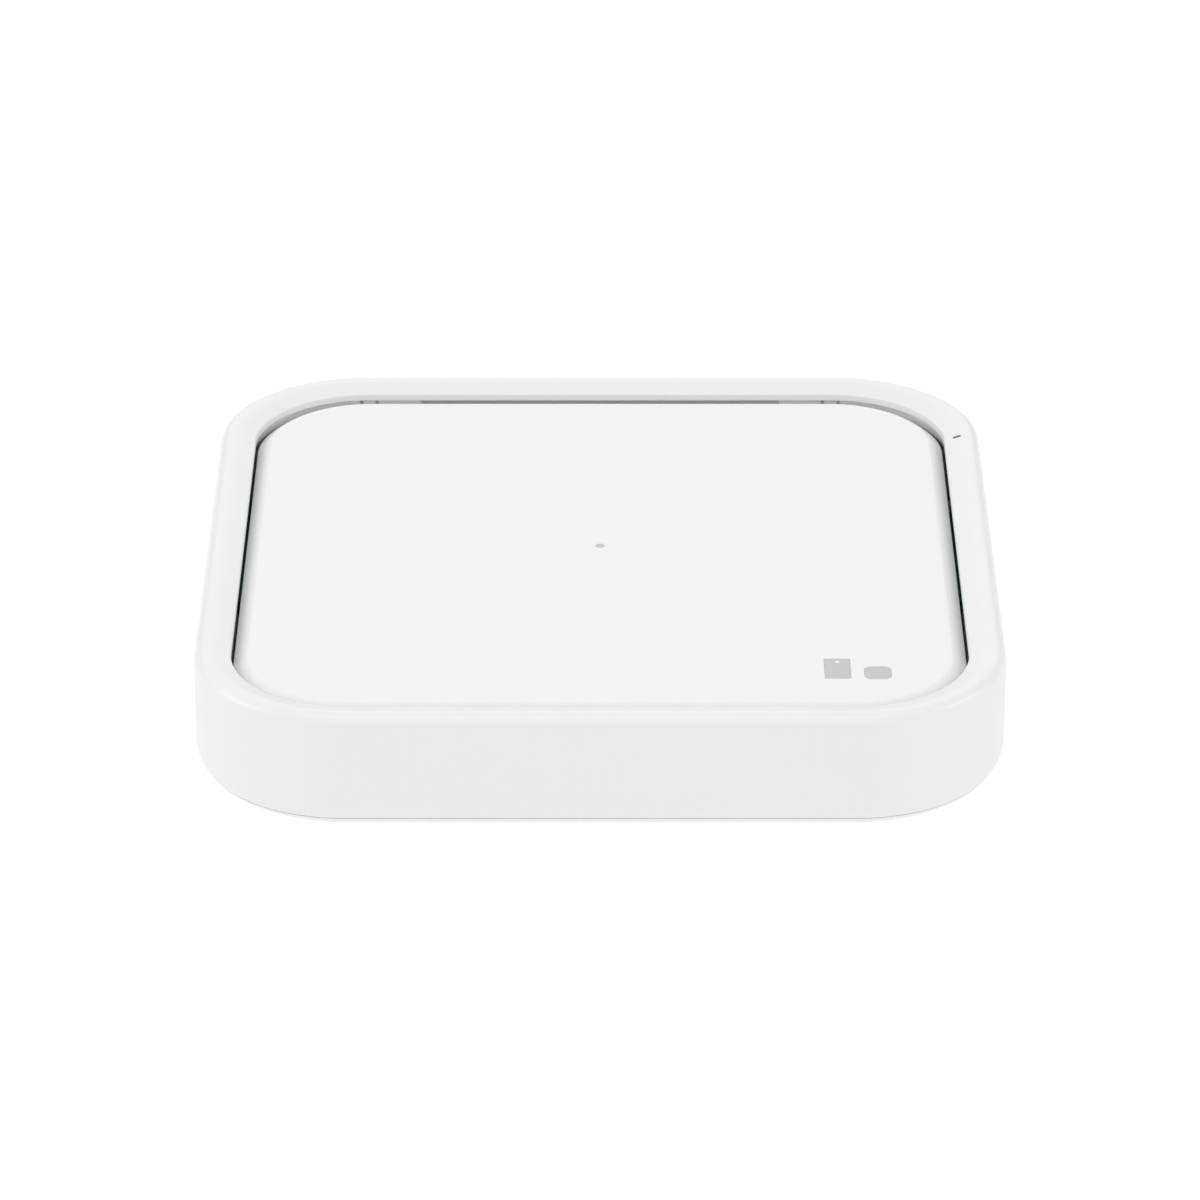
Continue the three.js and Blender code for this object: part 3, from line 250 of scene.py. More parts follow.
def material(name, color, rough, metal=0.0, vary=0.04, grain=3000.0, bump=0.08, kind=None, coat=0.0):
    """Procedural finish: broad tone change, fine grain in tone, roughness and relief."""
    m = bpy.data.materials.new(name)
    m.use_nodes = True
    nt = m.node_tree
    nodes, links = nt.nodes, nt.links
    bsdf = nodes["Principled BSDF"]
    bsdf.inputs["Metallic"].default_value = metal
    bsdf.inputs["Specular IOR Level"].default_value = 0.5
    if coat:
        bsdf.inputs["Coat Weight"].default_value = coat
        bsdf.inputs["Coat Roughness"].default_value = 0.2
    coord = nodes.new("ShaderNodeTexCoord")
    broad = nodes.new("ShaderNodeTexNoise")
    broad.inputs["Scale"].default_value = BROAD_SCALE
    broad.inputs["Detail"].default_value = 3.0
    fine = nodes.new("ShaderNodeTexNoise")
    fine.inputs["Scale"].default_value = grain
    fine.inputs["Detail"].default_value = 4.0
    source = coord.outputs["Object"]
    if kind in ("brushed_x", "brushed_y"):
        stretch = nodes.new("ShaderNodeMapping")
        stretch.inputs["Scale"].default_value = (0.03, 1, 1) if kind == "brushed_x" else (1, 0.03, 1)
        links.new(source, stretch.inputs["Vector"])
        links.new(stretch.outputs["Vector"], fine.inputs["Vector"])
    else:
        links.new(source, fine.inputs["Vector"])
    links.new(source, broad.inputs["Vector"])
    both = nodes.new("ShaderNodeMix")
    both.data_type = "FLOAT"
    both.inputs["Factor"].default_value = 0.5
    links.new(broad.outputs["Fac"], both.inputs["A"])
    links.new(fine.outputs["Fac"], both.inputs["B"])
    tone = nodes.new("ShaderNodeValToRGB")
    low = [max(0.0, c * (1 - vary)) for c in color]
    high = [min(1.0, c * (1 + vary)) for c in color]
    tone.color_ramp.elements[0].position = RAMP_LOW
    tone.color_ramp.elements[0].color = (*low, 1)
    tone.color_ramp.elements[1].position = RAMP_HIGH
    tone.color_ramp.elements[1].color = (*high, 1)
    links.new(both.outputs["Result"], tone.inputs["Fac"])
    out_color = tone.outputs["Color"]
    height = fine.outputs["Fac"]
    if kind == "board":
        # copper pours and traces under solder mask
        traces = nodes.new("ShaderNodeTexBrick")
        traces.inputs["Scale"].default_value = 420.0
        traces.inputs["Mortar Size"].default_value = 0.1
        traces.inputs["Color1"].default_value = (0.010, 0.115, 0.045, 1)
        traces.inputs["Color2"].default_value = (0.016, 0.150, 0.058, 1)
        traces.inputs["Mortar"].default_value = (0.034, 0.235, 0.10, 1)
        links.new(source, traces.inputs["Vector"])
        mix = nodes.new("ShaderNodeMix")
        mix.data_type = "RGBA"
        mix.blend_type = "MULTIPLY"
        mix.inputs["Factor"].default_value = 0.35
        links.new(traces.outputs["Color"], mix.inputs["A"])
        links.new(tone.outputs["Color"], mix.inputs["B"])
        out_color = mix.outputs["Result"]
        height = traces.outputs["Fac"]
    if kind == "litz":
        strands = nodes.new("ShaderNodeTexWave")
        strands.inputs["Scale"].default_value = 2600.0
        strands.inputs["Distortion"].default_value = 1.5
        links.new(source, strands.inputs["Vector"])
        mix = nodes.new("ShaderNodeMix")
        mix.data_type = "RGBA"
        mix.blend_type = "MULTIPLY"
        mix.inputs["Factor"].default_value = 0.5
        links.new(tone.outputs["Color"], mix.inputs["A"])
        links.new(strands.outputs["Color"], mix.inputs["B"])
        out_color = mix.outputs["Result"]
        height = strands.outputs["Fac"]
    if kind == "speckle":
        spots = nodes.new("ShaderNodeTexVoronoi")
        spots.inputs["Scale"].default_value = 1800.0
        links.new(source, spots.inputs["Vector"])
        height = spots.outputs["Distance"]
    links.new(out_color, bsdf.inputs["Base Color"])
    span = nodes.new("ShaderNodeMapRange")
    span.inputs["From Min"].default_value = RAMP_LOW
    span.inputs["From Max"].default_value = RAMP_HIGH
    span.inputs["To Min"].default_value = rough * 0.9
    span.inputs["To Max"].default_value = min(1.0, rough * 1.1)
    links.new(both.outputs["Result"], span.inputs["Value"])
    links.new(span.outputs["Result"], bsdf.inputs["Roughness"])
    relief = nodes.new("ShaderNodeBump")
    relief.inputs["Strength"].default_value = bump
    relief.inputs["Distance"].default_value = RELIEF_DEPTH
    links.new(height, relief.inputs["Height"])
    links.new(relief.outputs["Normal"], bsdf.inputs["Normal"])
    return m


FINISHES = {
    "case_white": dict(color=(0.785, 0.785, 0.785), rough=0.3, vary=0.006, grain=4200, bump=0.10),
    "plate_white": dict(color=(0.815, 0.815, 0.815), rough=0.5, vary=0.006, grain=5200, bump=0.12),
    "print_grey": dict(color=(0.53, 0.53, 0.53), rough=0.6, vary=0.03, grain=6000, bump=0.1),
    "foot_rubber": dict(color=(0.46, 0.46, 0.47), rough=0.8, vary=0.05, grain=2500, bump=0.3),
    "screw_steel": dict(color=(0.45, 0.45, 0.46), rough=0.35, metal=1.0, grain=3000, kind="brushed_x"),
    "litz_copper": dict(color=(0.58, 0.27, 0.12), rough=0.4, metal=1.0, vary=0.12, kind="litz", bump=0.4),
    "chassis_plastic": dict(color=(0.78, 0.78, 0.77), rough=0.6, vary=0.03, grain=1800, bump=0.25),
    "adhesive_foam": dict(color=(0.05, 0.05, 0.052), rough=0.95, vary=0.2, grain=2200, bump=0.7),
    "spreader_aluminium": dict(color=(0.72, 0.73, 0.74), rough=0.32, metal=1.0, grain=2500,
                               kind="brushed_x"),
    "ferrite_black": dict(color=(0.018, 0.018, 0.020), rough=0.7, vary=0.3, kind="speckle", bump=0.3),
    "component_black": dict(color=(0.02, 0.02, 0.022), rough=0.5, vary=0.2, grain=2500, bump=0.2),
    "inductor_grey": dict(color=(0.10, 0.10, 0.105), rough=0.6, vary=0.2, kind="speckle", bump=0.3),
    "ceramic_tan": dict(color=(0.42, 0.28, 0.13), rough=0.35, vary=0.08, grain=2500),
    "board_green": dict(color=(0.8, 0.9, 0.8), rough=0.3, vary=0.1, kind="board", bump=0.3),
    "led_body": dict(color=(0.80, 0.78, 0.62), rough=0.3, vary=0.05, grain=3000),
    "connector_ivory": dict(color=(0.80, 0.76, 0.66), rough=0.5, vary=0.04, grain=2500),
    "inlet_steel": dict(color=(0.62, 0.62, 0.63), rough=0.28, metal=1.0, grain=2500, kind="brushed_y"),
    "light_pipe_smoke": dict(color=(0.015, 0.016, 0.018), rough=0.2, vary=0.1, grain=1200, coat=0.4),
    "fan_plastic": dict(color=(0.022, 0.022, 0.024), rough=0.55, vary=0.15, grain=2200, bump=0.2),
    "impeller_plastic": dict(color=(0.035, 0.035, 0.038), rough=0.5, vary=0.15, grain=2500, bump=0.15),
    "fan_cover_steel": dict(color=(0.55, 0.55, 0.56), rough=0.3, metal=1.0, grain=2500, kind="brushed_x"),
    "magnet_grey": dict(color=(0.10, 0.10, 0.105), rough=0.5, metal=0.6, vary=0.2, kind="speckle"),
    "shaft_steel": dict(color=(0.66, 0.66, 0.67), rough=0.2, metal=1.0, grain=3500, kind="brushed_x"),
    "bearing_bronze": dict(color=(0.45, 0.30, 0.11), rough=0.4, metal=1.0, vary=0.12,
                           kind="speckle", bump=0.2),
    "stator_winding": dict(color=(0.52, 0.22, 0.09), rough=0.45, metal=1.0, vary=0.15, kind="litz",
                           bump=0.5),
    "lead_black": dict(color=(0.02, 0.02, 0.021), rough=0.6, vary=0.2, grain=2200, bump=0.2),
}
finishes = {name: material(name, **spec) for name, spec in FINISHES.items()}
gold = material("contact_gold", (0.80, 0.55, 0.20), 0.25, metal=1.0, vary=0.05, grain=3000)

node_slot = {p["node"]: p["material_slot"] for p in frame["record"]["subparts"]}
for name, o in frame["nodes"].items():
    o.data.materials.clear()
    o.data.materials.append(finishes[node_slot[name]])


def piece(o, *nodes, body="case"):
    """o stands for these nodes and takes their finish."""
    name = node_slot[nodes[0]]
    if not o.data.materials:
        o.data.materials.append(finishes[name])
    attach(o, body)
    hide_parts(*nodes)
    return o


# ---------------------------------------------------------------- outer housing
def vent_tool(x0, x1, y0, y1):
    """The part of the air channel's band, which follows the outline, that lies in a box in plan."""
    z0, z1 = LIP_BOTTOM - VENT_DROP, LIP_BOTTOM
    outer, inner = VENT_INSET, RAIL_INSET + 1
    ring = swept("ring", [(outer, z0), (outer, z1), (inner, z1), (inner, z0)], True)
    block = prism("block", rectangle(x0, x1, y0, y1), z0 - 1, z1 + 1)
    return combine(ring, [block], "INTERSECT")


def crown(first, steps=8):
    """The rim's crown as (inset, z), from its point number first to where the slope starts."""
    across = [CROWN * k / steps for k in range(first, steps + 1)]
    return [(CREST + u, HEIGHT - SLOPE * u ** 2 / (2 * CROWN)) for u in across]


def rim_top():
    """Level crest, crown and slope of the rim, as (inset, z)."""
    return [(0.5, HEIGHT), (CREST, HEIGHT), *crown(1), (RIM_WIDTH, LIP_TOP)]


def housing_profile():
    """Closed section of the wall, rim and lip, as (inset, z)."""
    fillet_z = BASE_Z + BOTTOM_FILLET
    seam_angle = math.asin((fillet_z - SEAM_HIGH) / BOTTOM_FILLET)
    profile = []
    for k in range(9):
        a = seam_angle * (1 - k / 8)
        profile.append((BOTTOM_FILLET - BOTTOM_FILLET * math.cos(a), fillet_z - BOTTOM_FILLET * math.sin(a)))
    # holding points on the flat of the wall
    profile += [(0.0, fillet_z + 0.4), (0.0, HEIGHT - TOP_FILLET - 0.4)]
    profile += arc_profile(TOP_FILLET, HEIGHT - TOP_FILLET, TOP_FILLET, 0, math.pi / 2, 10)
    profile += crown(0)
    # round between the slope and the lip's upright face
    tilt = math.atan(SLOPE)
    turn = math.pi / 2 - tilt
    back = LIP_R * math.tan(turn / 2)
    along, hold = back * math.cos(tilt), 0.25
    profile.append((RIM_WIDTH - along - hold, LIP_TOP + SLOPE * (along + hold)))
    for k in range(6):
        a = turn * (1 - k / 5)
        profile.append((RIM_WIDTH - LIP_R + LIP_R * math.cos(a), LIP_TOP - back + LIP_R * math.sin(a)))
    profile += [(RIM_WIDTH, LIP_BOTTOM + LIP_CHAMFER), (RIM_WIDTH - LIP_CHAMFER, LIP_BOTTOM)]
    profile += [(RAIL_INSET, LIP_BOTTOM), (RAIL_INSET, RAIL_BOTTOM), (WALL, RAIL_BOTTOM), (WALL, SEAM_HIGH)]
    return profile


def screw_boss(sx, sy):
    """Boss for a case screw, with a web that joins it to the wall."""
    half_web, web_low, into_wall = 0.6, 4.2, 0.2
    x, y = sx * CASE_SCREW, sy * CASE_SCREW
    wall_y = sy * (HALF - WALL + into_wall)
    plan = rectangle(x - half_web, x + half_web, min(y, wall_y), max(y, wall_y))
    web = prism("web", plan, web_low, HOUSING_BOSS[-1])
    return combine(rod(x, y, *HOUSING_BOSS), [web], "UNION")


def inlet_opening():
    """Hole through the back wall round the inlet, with a small chamfer at the back face."""
    half = INLET_H / 2 + INLET_GAP
    section = stadium(INLET_W / 2 + INLET_GAP, half, half, 14)
    opening = prism("opening", section, -1.0, 2.05, flare=(0.22, 0.22))
    place = Matrix.Translation((0, (HALF - 1.95) * MM, INLET_Z * MM))
    opening.data.transform(place @ Matrix.Rotation(-math.pi / 2, 4, "X"))
    return opening


def housing():
    signs = [(sx, sy) for sx in (-1, 1) for sy in (-1, 1)]
    body = swept("outer_housing_visual", housing_profile(), True)
    body = combine(body, [screw_boss(sx, sy) for sx, sy in signs], "UNION")
    tools = [
        vent_tool(-HALF, 0, -SIDE_VENT_REACH, SIDE_VENT_REACH),
        vent_tool(0, HALF, -SIDE_VENT_REACH, SIDE_VENT_REACH),
        vent_tool(-BACK_VENT_REACH, BACK_VENT_REACH, 0, HALF),
    ]
    for sx in (-1, 1):
        for x in CATCH_SLITS:
            tools.append(vent_tool(sx * x - SLIT_HALF, sx * x + SLIT_HALF, 0, HALF))
    tools.append(inlet_opening())
    tools += [rod(sx * CASE_SCREW, sy * CASE_SCREW, *CASE_PILOT) for sx, sy in signs]
    body = combine(body, tools, "DIFFERENCE")
    plan = moved(stadium(0.52, 0.31, 0.31, 8), LIGHT_X, LIGHT_Y)
    slot = prism("slot", plan, LIP_BOTTOM - 1, HEIGHT + 1)
    body = combine(body, [slot, rod(LIGHT_X, LIGHT_Y, *PIPE_HOLE)], "DIFFERENCE")
    return finish_mesh(body)


piece(housing(), "outer_housing")


# ---------------------------------------------------------------- base cover and feet
def foot_outline(clear=0.0, steps=14):
    """Plan of the strip under the +X +Y corner, grown by clear."""
    points = []
    out_i, in_i = FOOT_OUT - clear, FOOT_IN + clear
    r_o = CORNER_R - CORNER_SHRINK * out_i
    r_i = CORNER_R - CORNER_SHRINK * in_i
    end_r = (FOOT_IN - FOOT_OUT) / 2 + clear
    mid = HALF - (FOOT_OUT + FOOT_IN) / 2
    start = FOOT_END - clear + end_r
    c_o, c_i = HALF - out_i - r_o, HALF - in_i - r_i
    for k in range(steps * 2 + 1):
        a = math.pi + math.pi * k / (steps * 2)
        points.append((mid + end_r * math.cos(a), start + end_r * math.sin(a)))
    for k in range(steps * 2 + 1):
        a = k / (steps * 2) * math.pi / 2
        points.append((c_o + r_o * math.cos(a), c_o + r_o * math.sin(a)))
    for k in range(steps * 2 + 1):
        a = math.pi / 2 + math.pi * k / (steps * 2)
        points.append((start + end_r * math.cos(a), mid + end_r * math.sin(a)))
    for k in range(steps + 1):
        a = (1 - k / steps) * math.pi / 2
        points.append((c_i + r_i * math.cos(a), c_i + r_i * math.sin(a)))
    return points


def mirrored(points, sx, sy):
    out = [(sx * x, sy * y) for x, y in points]
    return out if sx * sy > 0 else out[::-1]


def cover_profile():
    """Section of the base cover, as (inset, z), from its middle out and up to its locating rim."""
    seam_angle = math.asin((BASE_Z + BOTTOM_FILLET - SEAM_LOW) / BOTTOM_FILLET)
    profile = [(BOTTOM_FILLET + 0.5, BASE_Z)]
    for k in range(9):
        a = math.pi / 2 + (seam_angle - math.pi / 2) * k / 8
        profile.append((BOTTOM_FILLET * (1 - math.cos(a)), BASE_Z + BOTTOM_FILLET * (1 - math.sin(a))))
    profile += [(COVER_RIM_OUT, SEAM_LOW), (COVER_RIM_OUT, COVER_RIM_TOP)]
    return profile + [(COVER_RIM_IN, COVER_RIM_TOP), (COVER_RIM_IN, FLOOR_Z)]


def base_cover():
    body = swept("base_cover_visual", cover_profile(), False)
    add = []
    for sx in (-1, 1):
        add += [rod(sx * CASE_SCREW, sy * CASE_SCREW, *COVER_BOSS) for sy in (-1, 1)]
        add.append(rod(sx * BOARD_SCREW_X, BOARD_SCREW_Y, *BOARD_POST))
    for x, y in POSTS:
        add.append(combine(rod(x, y, *CHASSIS_POST_FOOT), [rod(x, y, *CHASSIS_POST)], "UNION"))
    body = combine(body, add, "UNION")
    cut = []
    for i in range(-3, 4):
        x = GRILLE_PITCH * i
        half = math.sqrt(GRILLE_R ** 2 - x * x)
        plan = moved(stadium(GRILLE_SLOT_HALF, half, GRILLE_SLOT_HALF, 8), x, FAN_Y)
        cut.append(prism("grille", plan, -1, 4))
    for sx in (-1, 1):
        for sy in (-1, 1):
            cut.append(prism("pocket", mirrored(foot_outline(FOOT_GAP), sx, sy), -1, BASE_Z + FOOT_POCKET))
            cut.append(rod(sx * CASE_SCREW, sy * CASE_SCREW, *CASE_HEAD_POCKET))
            cut.append(rod(sx * CASE_SCREW, sy * CASE_SCREW, *CASE_SHANK_HOLE))
        cut.append(rod(sx * BOARD_SCREW_X, BOARD_SCREW_Y, *BOARD_PILOT))
        cut.append(rod(sx * FAN_SCREW, FAN_Y + sx * FAN_SCREW, *FAN_PILOT))
    cut += [rod(x, y, *CHASSIS_PILOT) for x, y in POSTS]
    for tool in cut:
        body = combine(body, [tool], "DIFFERENCE")
    return finish_mesh(body)


piece(base_cover(), "base_cover")


def foot(name, sx, sy):
    """Rubber strip round one corner, with its lower edge rounded."""
    bm = bmesh.new()
    plan = mirrored(foot_outline(), sx, sy)
    loft(bm, [[Vector((x, y, z)) for x, y in plan] for z in (0.0, FOOT_TOP)])
    bmesh.ops.recalc_face_normals(bm, faces=bm.faces)
    rim = [e for e in bm.edges if all(v.co.z < 1e-6 for v in e.verts)]
    bmesh.ops.bevel(bm, geom=rim, offset=0.3, segments=3, profile=0.5, affect="EDGES")
    return mesh_object(f"foot_{name}_visual", bm)


for name, (sx, sy) in CORNERS.items():
    piece(foot(name, sx, sy), f"foot_{name}")


# ---------------------------------------------------------------- charging plate and printed marks
def phone_points(clear):
    return moved(stadium(1.425 + clear, 2.375 + clear, 0.12 + clear, 4), 26.22, -31.0)


def buds_points(clear):
    return moved(stadium(1.475 + clear, 1.5 + clear, 0.8 + clear, 12), 30.65, -32.0)


def phone_shape(name, clear, z0, z1, lens_r):
    """Rounded rectangle with a round hole for the camera lens."""
    lens = rod(*PHONE_LENS, lens_r, 24, 12, 16)
    return combine(prism(name, phone_points(clear), z0, z1), [lens], "DIFFERENCE")


def plate():
    """Flat top, curved skirt, and a ring that hangs below its edge."""
    profile = [(PLATE_RING_INSET, PLATE_UNDER), (PLATE_RING_INSET, PLATE_RING_BOTTOM)]
    profile += [(PLATE_INSET, PLATE_RING_BOTTOM), (PLATE_INSET, SKIRT_FOOT - 0.08)]
    a, b, c = (PLATE_INSET, SKIRT_FOOT), SKIRT_BEND, (PLATE_FLAT - 0.06, PLATE_TOP - 0.05)
    for k in range(9):
        t = k / 8
        profile.append(tuple((1 - t) ** 2 * a[i] + 2 * t * (1 - t) * b[i] + t * t * c[i] for i in (0, 1)))
    # turn on to the flat, and a holding ring on it
    profile += [(PLATE_FLAT + 0.01, PLATE_TOP - 0.012), (PLATE_FLAT + 0.10, PLATE_TOP)]
    profile.append((PLATE_FLAT + 0.6, PLATE_TOP))
    body = swept("charging_plate_visual", profile, False)
    z0, z1 = PLATE_TOP - MARK_POCKET, 15
    tools = [
        rod(0.0, 0.0, CENTRE_POCKET_R, 40, z0, z1),
        phone_shape("phone", MARK_GAP, z0, z1, PHONE_LENS_ISLAND_R),
        prism("earbuds", buds_points(MARK_GAP), z0, z1),
    ]
    return finish_mesh(combine(body, tools, "DIFFERENCE"))


piece(plate(), "charging_plate")
mark_z = PLATE_TOP - MARK_T
piece(prism("centre_mark_visual", circle(CENTRE_MARK_R, 40), mark_z, PLATE_TOP), "centre_mark")
piece(finish_mesh(phone_shape("phone_mark_visual", 0, mark_z, PLATE_TOP, PHONE_LENS_R)), "phone_mark")
piece(prism("earbud_case_mark_visual", buds_points(0), mark_z, PLATE_TOP), "earbud_case_mark")


# ---------------------------------------------------------------- power inlet
def inlet_section(inset):
    r = INLET_H / 2 - inset
    return stadium(INLET_W / 2 - inset, r, r, 14)


def loft_along_y(bm, levels):
    """Loft between (section, y) levels whose sections are in X and Z round the inlet's axis."""
    loft(bm, [[Vector((x, y, z + INLET_Z)) for x, z in ring] for ring, y in levels])


def inlet():
    """Drawn steel shell with a floor at its inner end."""
    bm = bmesh.new()
    y0, y1 = INLET_MOUTH - INLET_L, INLET_MOUTH
    outer, edge = inlet_section(0.0), inlet_section(INLET_EDGE)
    lip, inner = inlet_section(INLET_LIP), inlet_section(INLET_WALL)
    levels = [(edge, y0), (outer, y0 + INLET_EDGE), (outer, y1 - INLET_EDGE), (edge, y1), (lip, y1)]
    levels += [(inner, y1 - INLET_EDGE), (inner, y0 + INLET_WALL)]
    loft_along_y(bm, levels)
    return mesh_object("inlet_shell_visual", bm)


piece(inlet(), "inlet_shell")


def contact_board():
    """Tongue of the inlet with a row of gold contacts on each face."""
    start = INLET_MOUTH - INLET_L + 0.35
    bm = bmesh.new()
    shape = stadium(CONTACT_BOARD_W / 2, 0.35, 0.12, 4)
    tip = stadium(CONTACT_BOARD_W / 2 - 0.25, 0.2, 0.1, 4)
    loft_along_y(bm, [(shape, start), (shape, start + 5.3), (tip, start + 5.6)])
    body_faces = len(bm.faces)
    for side in (-1, 1):
        z0, z1 = INLET_Z + side * 0.34, INLET_Z + side * 0.38
        for i in range(CONTACTS):
            x = (i - (CONTACTS - 1) / 2) * CONTACT_PITCH
            pad = rectangle(x - CONTACT_HALF, x + CONTACT_HALF, start + 1.2, start + 4.9)
            loft(bm, [[Vector((px, py, z)) for px, py in pad] for z in (z0, z1)])
    o = mesh_object("inlet_contact_board_visual", bm)
    o.data.materials.append(finishes["component_black"])
    o.data.materials.append(gold)
    for f in o.data.polygons[body_faces:]:
        f.material_index = 1
    return o


piece(contact_board(), "inlet_contact_board")


# ---------------------------------------------------------------- light pipe
def light_pipe():
    """Round stem with a flat blade on top, trimmed just under the rim's surface."""
    stem = prism("light_pipe_visual", circle(*PIPE_STEM[:2], LIGHT_X, LIGHT_Y), *PIPE_STEM[2:])
    blade = prism("blade", moved(stadium(0.46, 0.25, 0.25, 8), LIGHT_X, LIGHT_Y), 13.0, 16.0)
    trim_z = 12.0
    profile = [(0.5, trim_z), *((i, z - LIGHT_RECESS) for i, z in rim_top()), (RIM_WIDTH, trim_z)]
    under_rim = swept("under_rim", profile, True)
    return finish_mesh(combine(stem, [combine(blade, [under_rim], "INTERSECT")], "UNION"))


piece(light_pipe(), "light_pipe")


# ---------------------------------------------------------------- coil
def coil():
    """Flat spiral of round litz wire, slightly flattened, wound outwards from the inner lead."""
    bm = bmesh.new()
    half = 0.5
    rise = (COIL_HIGH - COIL_LOW) / 2
    per_turn, sides = 48, 12
    count = COIL_TURNS * per_turn
    section = [2 * math.pi * k / sides for k in range(sides)]
    rings = []
    for i in range(count + 1):
        angle = math.pi / 2 + 2 * math.pi * i / per_turn
        r = COIL_IN + half + (COIL_OUT - COIL_IN - 2 * half) * i / count
        out = Vector((math.cos(angle), math.sin(angle), 0))
        centre = r * out + Vector((0, 0, (COIL_LOW + COIL_HIGH) / 2))
        rings.append([centre + half * math.cos(a) * out + Vector((0, 0, rise * math.sin(a))) for a in section])
    loft(bm, rings)
    return mesh_object("charging_coil_visual", bm, 60)


piece(coil(), "charging_coil")


# ---------------------------------------------------------------- screws
def node_box(name):
    """Corners of a CAD node in millimetres."""
    o = frame["nodes"][name]
    points = [o.matrix_world @ v.co / MM for v in o.data.vertices]
    low = Vector([min(p[i] for p in points) for i in range(3)])
    return low, Vector([max(p[i] for p in points) for i in range(3)])

THREAD_PITCH, THREAD_DEPTH, SCREW_TIP, HEAD_EDGE = 0.45, 0.12, 0.35, 0.45


def screw_profile(head_r, head_h, shank_r, shank):
    """Radius and height from the tip up: a ridged shank, then a pan head."""
    root = shank_r - THREAD_DEPTH
    profile = [(shank_r * 0.35, 0.0), (root, SCREW_TIP)]
    for k in range(int((shank - 0.8) / THREAD_PITCH)):
        profile.append((shank_r, SCREW_TIP + THREAD_PITCH * (k + 0.5)))
        profile.append((root, SCREW_TIP + THREAD_PITCH * (k + 1)))
    profile += [(root, shank), (head_r, shank), (head_r, shank + head_h * HEAD_EDGE)]
    for k in range(1, 6):
        a = math.pi / 2 * k / 5
        across = head_r - HEAD_EDGE * head_h * (1 - math.cos(a))
        profile.append((across, shank + head_h * (HEAD_EDGE + 0.55 * math.sin(a))))
    return profile


def screw(node, head_h, shank_r, head_down):
    """Pan-head screw with a cross recess and ridges for a thread, in the place of its CAD node."""
    low, high = node_box(node)
    head_r = (high.x - low.x) / 2
    length = high.z - low.z
    profile = screw_profile(head_r, head_h, shank_r, length - head_h)
    bm = bmesh.new()
    loft(bm, [[Vector((x, y, z)) for x, y in circle(r, 24)] for r, z in profile])
    o = mesh_object(node + "_visual", bm)
    arm, thick = head_r * 0.55, head_r * 0.13
    bars = []
    for w, d in ((arm, thick), (thick, arm)):
        bars.append(prism("recess", rectangle(-w, w, -d, d), length - head_h * 0.6, length + 1))
    o = finish_mesh(combine(o, [combine(bars[0], [bars[1]], "UNION")], "DIFFERENCE"))
    place = Matrix.Translation(Vector(((low.x + high.x) / 2, (low.y + high.y) / 2, low.z)) * MM)
    if head_down:
        place = Matrix.Translation(Vector((0, 0, length * MM))) @ place @ Matrix.Rotation(math.pi, 4, "X")
    o.data.transform(place)
    return piece(o, node)


# head height, shank radius, and whether the head points down
SCREWS = {
    "case_screw": (1.0, 0.65, True),
    "chassis_screw": (0.9, 0.65, False),
    "board_screw": (0.7, 0.55, False),
    "fan_screw": (0.7, 0.55, False),
}
for node in sorted(node_slot):
    family = "_".join(node.split("_")[:2])
    if family in SCREWS:
        screw(node, *SCREWS[family])


# ---------------------------------------------------------------- stage, light and camera
FLOOR_REACH, FLOOR_DROP, FLOOR_ALBEDO, FLOOR_GLOW, WORLD_GLOW = 6000, 0.05, 0.1, 0.95, 0.67
LIGHT_DISTANCE, LIGHT_SIZE = 1.2, 0.6  # metres
# azimuth and elevation in degrees, power in watts
LIGHTS = {
    "overhead": (0, 88, 1.6),
    "front_low": (0, 20, 1.4),
    "front_high": (0, 50, 1.25),
    "right": (90, 30, 2.35),
    "left": (-90, 30, 2.85),
    "back": (180, 25, 0.7),
    "back_left": (-135, 40, 0.8),
}
SENSOR, LENS = 36.0, 186.6
CAMERA_DISTANCE, CAMERA_ELEVATION, CAMERA_AIM_Y = 0.7331, math.radians(26.44), 0.0138


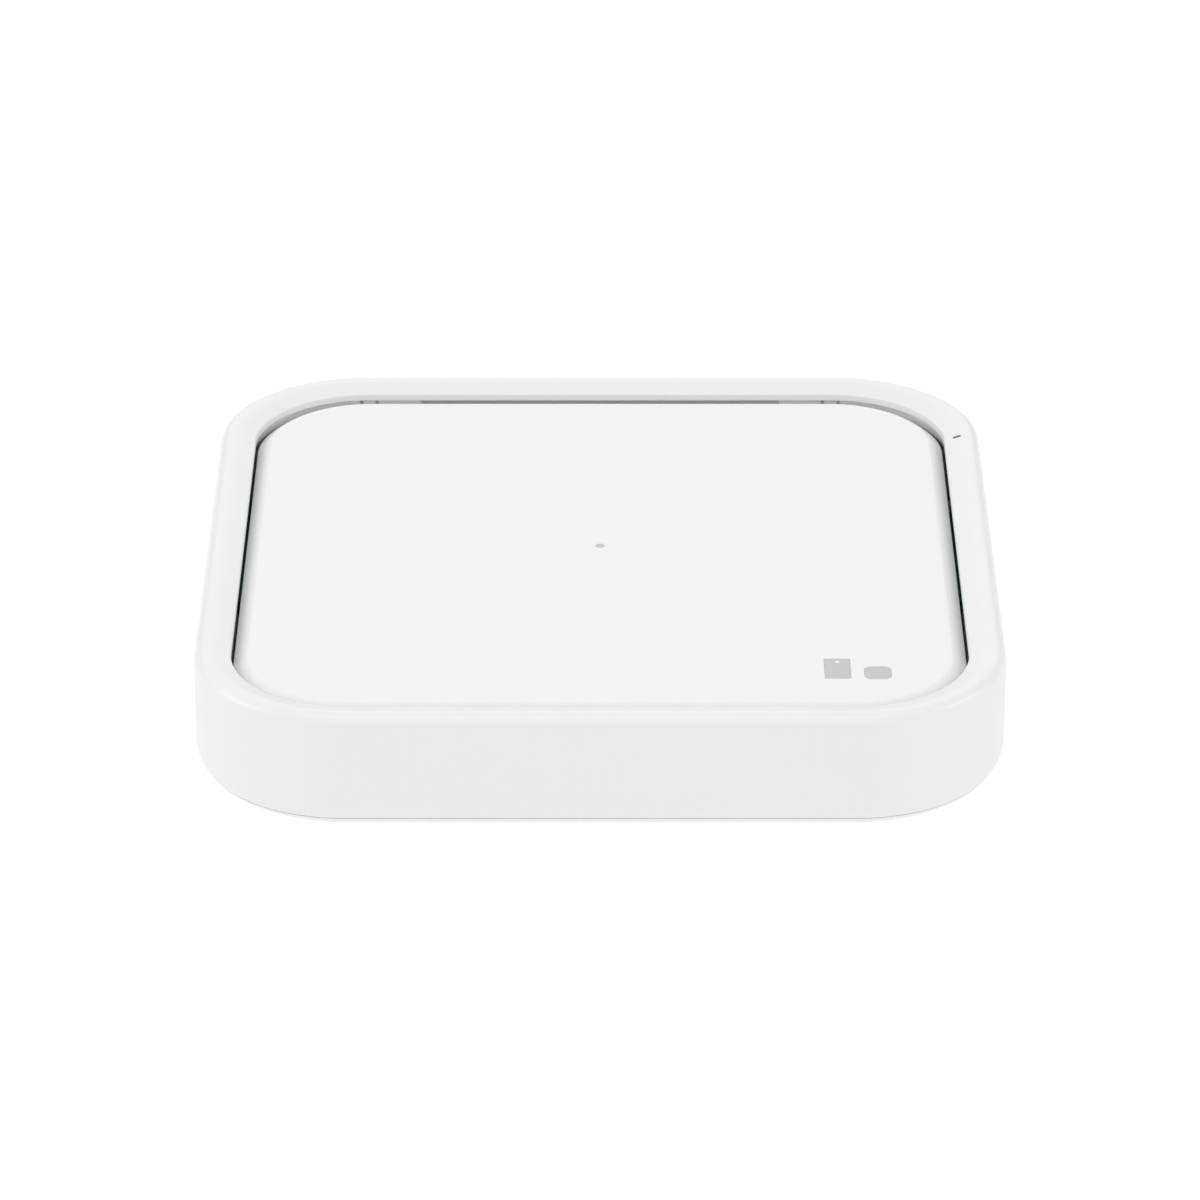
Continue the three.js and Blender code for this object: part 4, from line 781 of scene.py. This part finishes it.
def studio_floor():
    """White glowing floor, just clear of the feet."""
    bm = bmesh.new()
    bmesh.ops.create_grid(bm, x_segments=2, y_segments=2, size=FLOOR_REACH)
    floor = mesh_object("floor", bm)
    floor.location.z = -FLOOR_DROP * MM
    white = bpy.data.materials.new("floor_white")
    white.use_nodes = True
    bsdf = white.node_tree.nodes["Principled BSDF"]
    bsdf.inputs["Base Color"].default_value = (FLOOR_ALBEDO, FLOOR_ALBEDO, FLOOR_ALBEDO, 1)
    bsdf.inputs["Roughness"].default_value = 1.0
    bsdf.inputs["Specular IOR Level"].default_value = 0.0
    bsdf.inputs["Emission Color"].default_value = (1, 1, 1, 1)
    bsdf.inputs["Emission Strength"].default_value = FLOOR_GLOW
    floor.data.materials.append(white)
    return floor


def area_light(name, azimuth, elevation, power):
    """Soft square light aimed at the pad; azimuth 0 is the front, 90 the right."""
    a, e = math.radians(azimuth), math.radians(elevation)
    data = bpy.data.lights.new(name, "AREA")
    data.shape = "SQUARE"
    data.size = LIGHT_SIZE
    data.energy = power
    o = bpy.data.objects.new(name, data)
    x = LIGHT_DISTANCE * math.cos(e) * math.sin(a)
    y = -LIGHT_DISTANCE * math.cos(e) * math.cos(a)
    o.location = (x, y, LIGHT_DISTANCE * math.sin(e))
    o.rotation_euler = Vector(o.location).to_track_quat("Z", "Y").to_euler()
    bpy.context.scene.collection.objects.link(o)


def studio_camera():
    data = bpy.data.cameras.new("camera")
    data.sensor_width = SENSOR
    data.lens = LENS
    data.clip_start = 0.01
    data.clip_end = 20
    camera = bpy.data.objects.new("camera", data)
    across = CAMERA_DISTANCE * math.cos(CAMERA_ELEVATION)
    camera.location = (0, CAMERA_AIM_Y - across, CAMERA_DISTANCE * math.sin(CAMERA_ELEVATION))
    camera.rotation_euler = (math.pi / 2 - CAMERA_ELEVATION, 0, 0)
    bpy.context.scene.collection.objects.link(camera)
    bpy.context.scene.camera = camera


studio_floor()

world = bpy.data.worlds.new("studio")
bpy.context.scene.world = world
world.use_nodes = True
background = world.node_tree.nodes["Background"]
background.inputs["Color"].default_value = (1, 1, 1, 1)
background.inputs["Strength"].default_value = WORLD_GLOW

for name, (azimuth, height, power) in LIGHTS.items():
    area_light(name, azimuth, height, power)

studio_camera()
bpy.context.scene.view_settings.view_transform = "Standard"
bpy.context.scene.view_settings.look = "None"
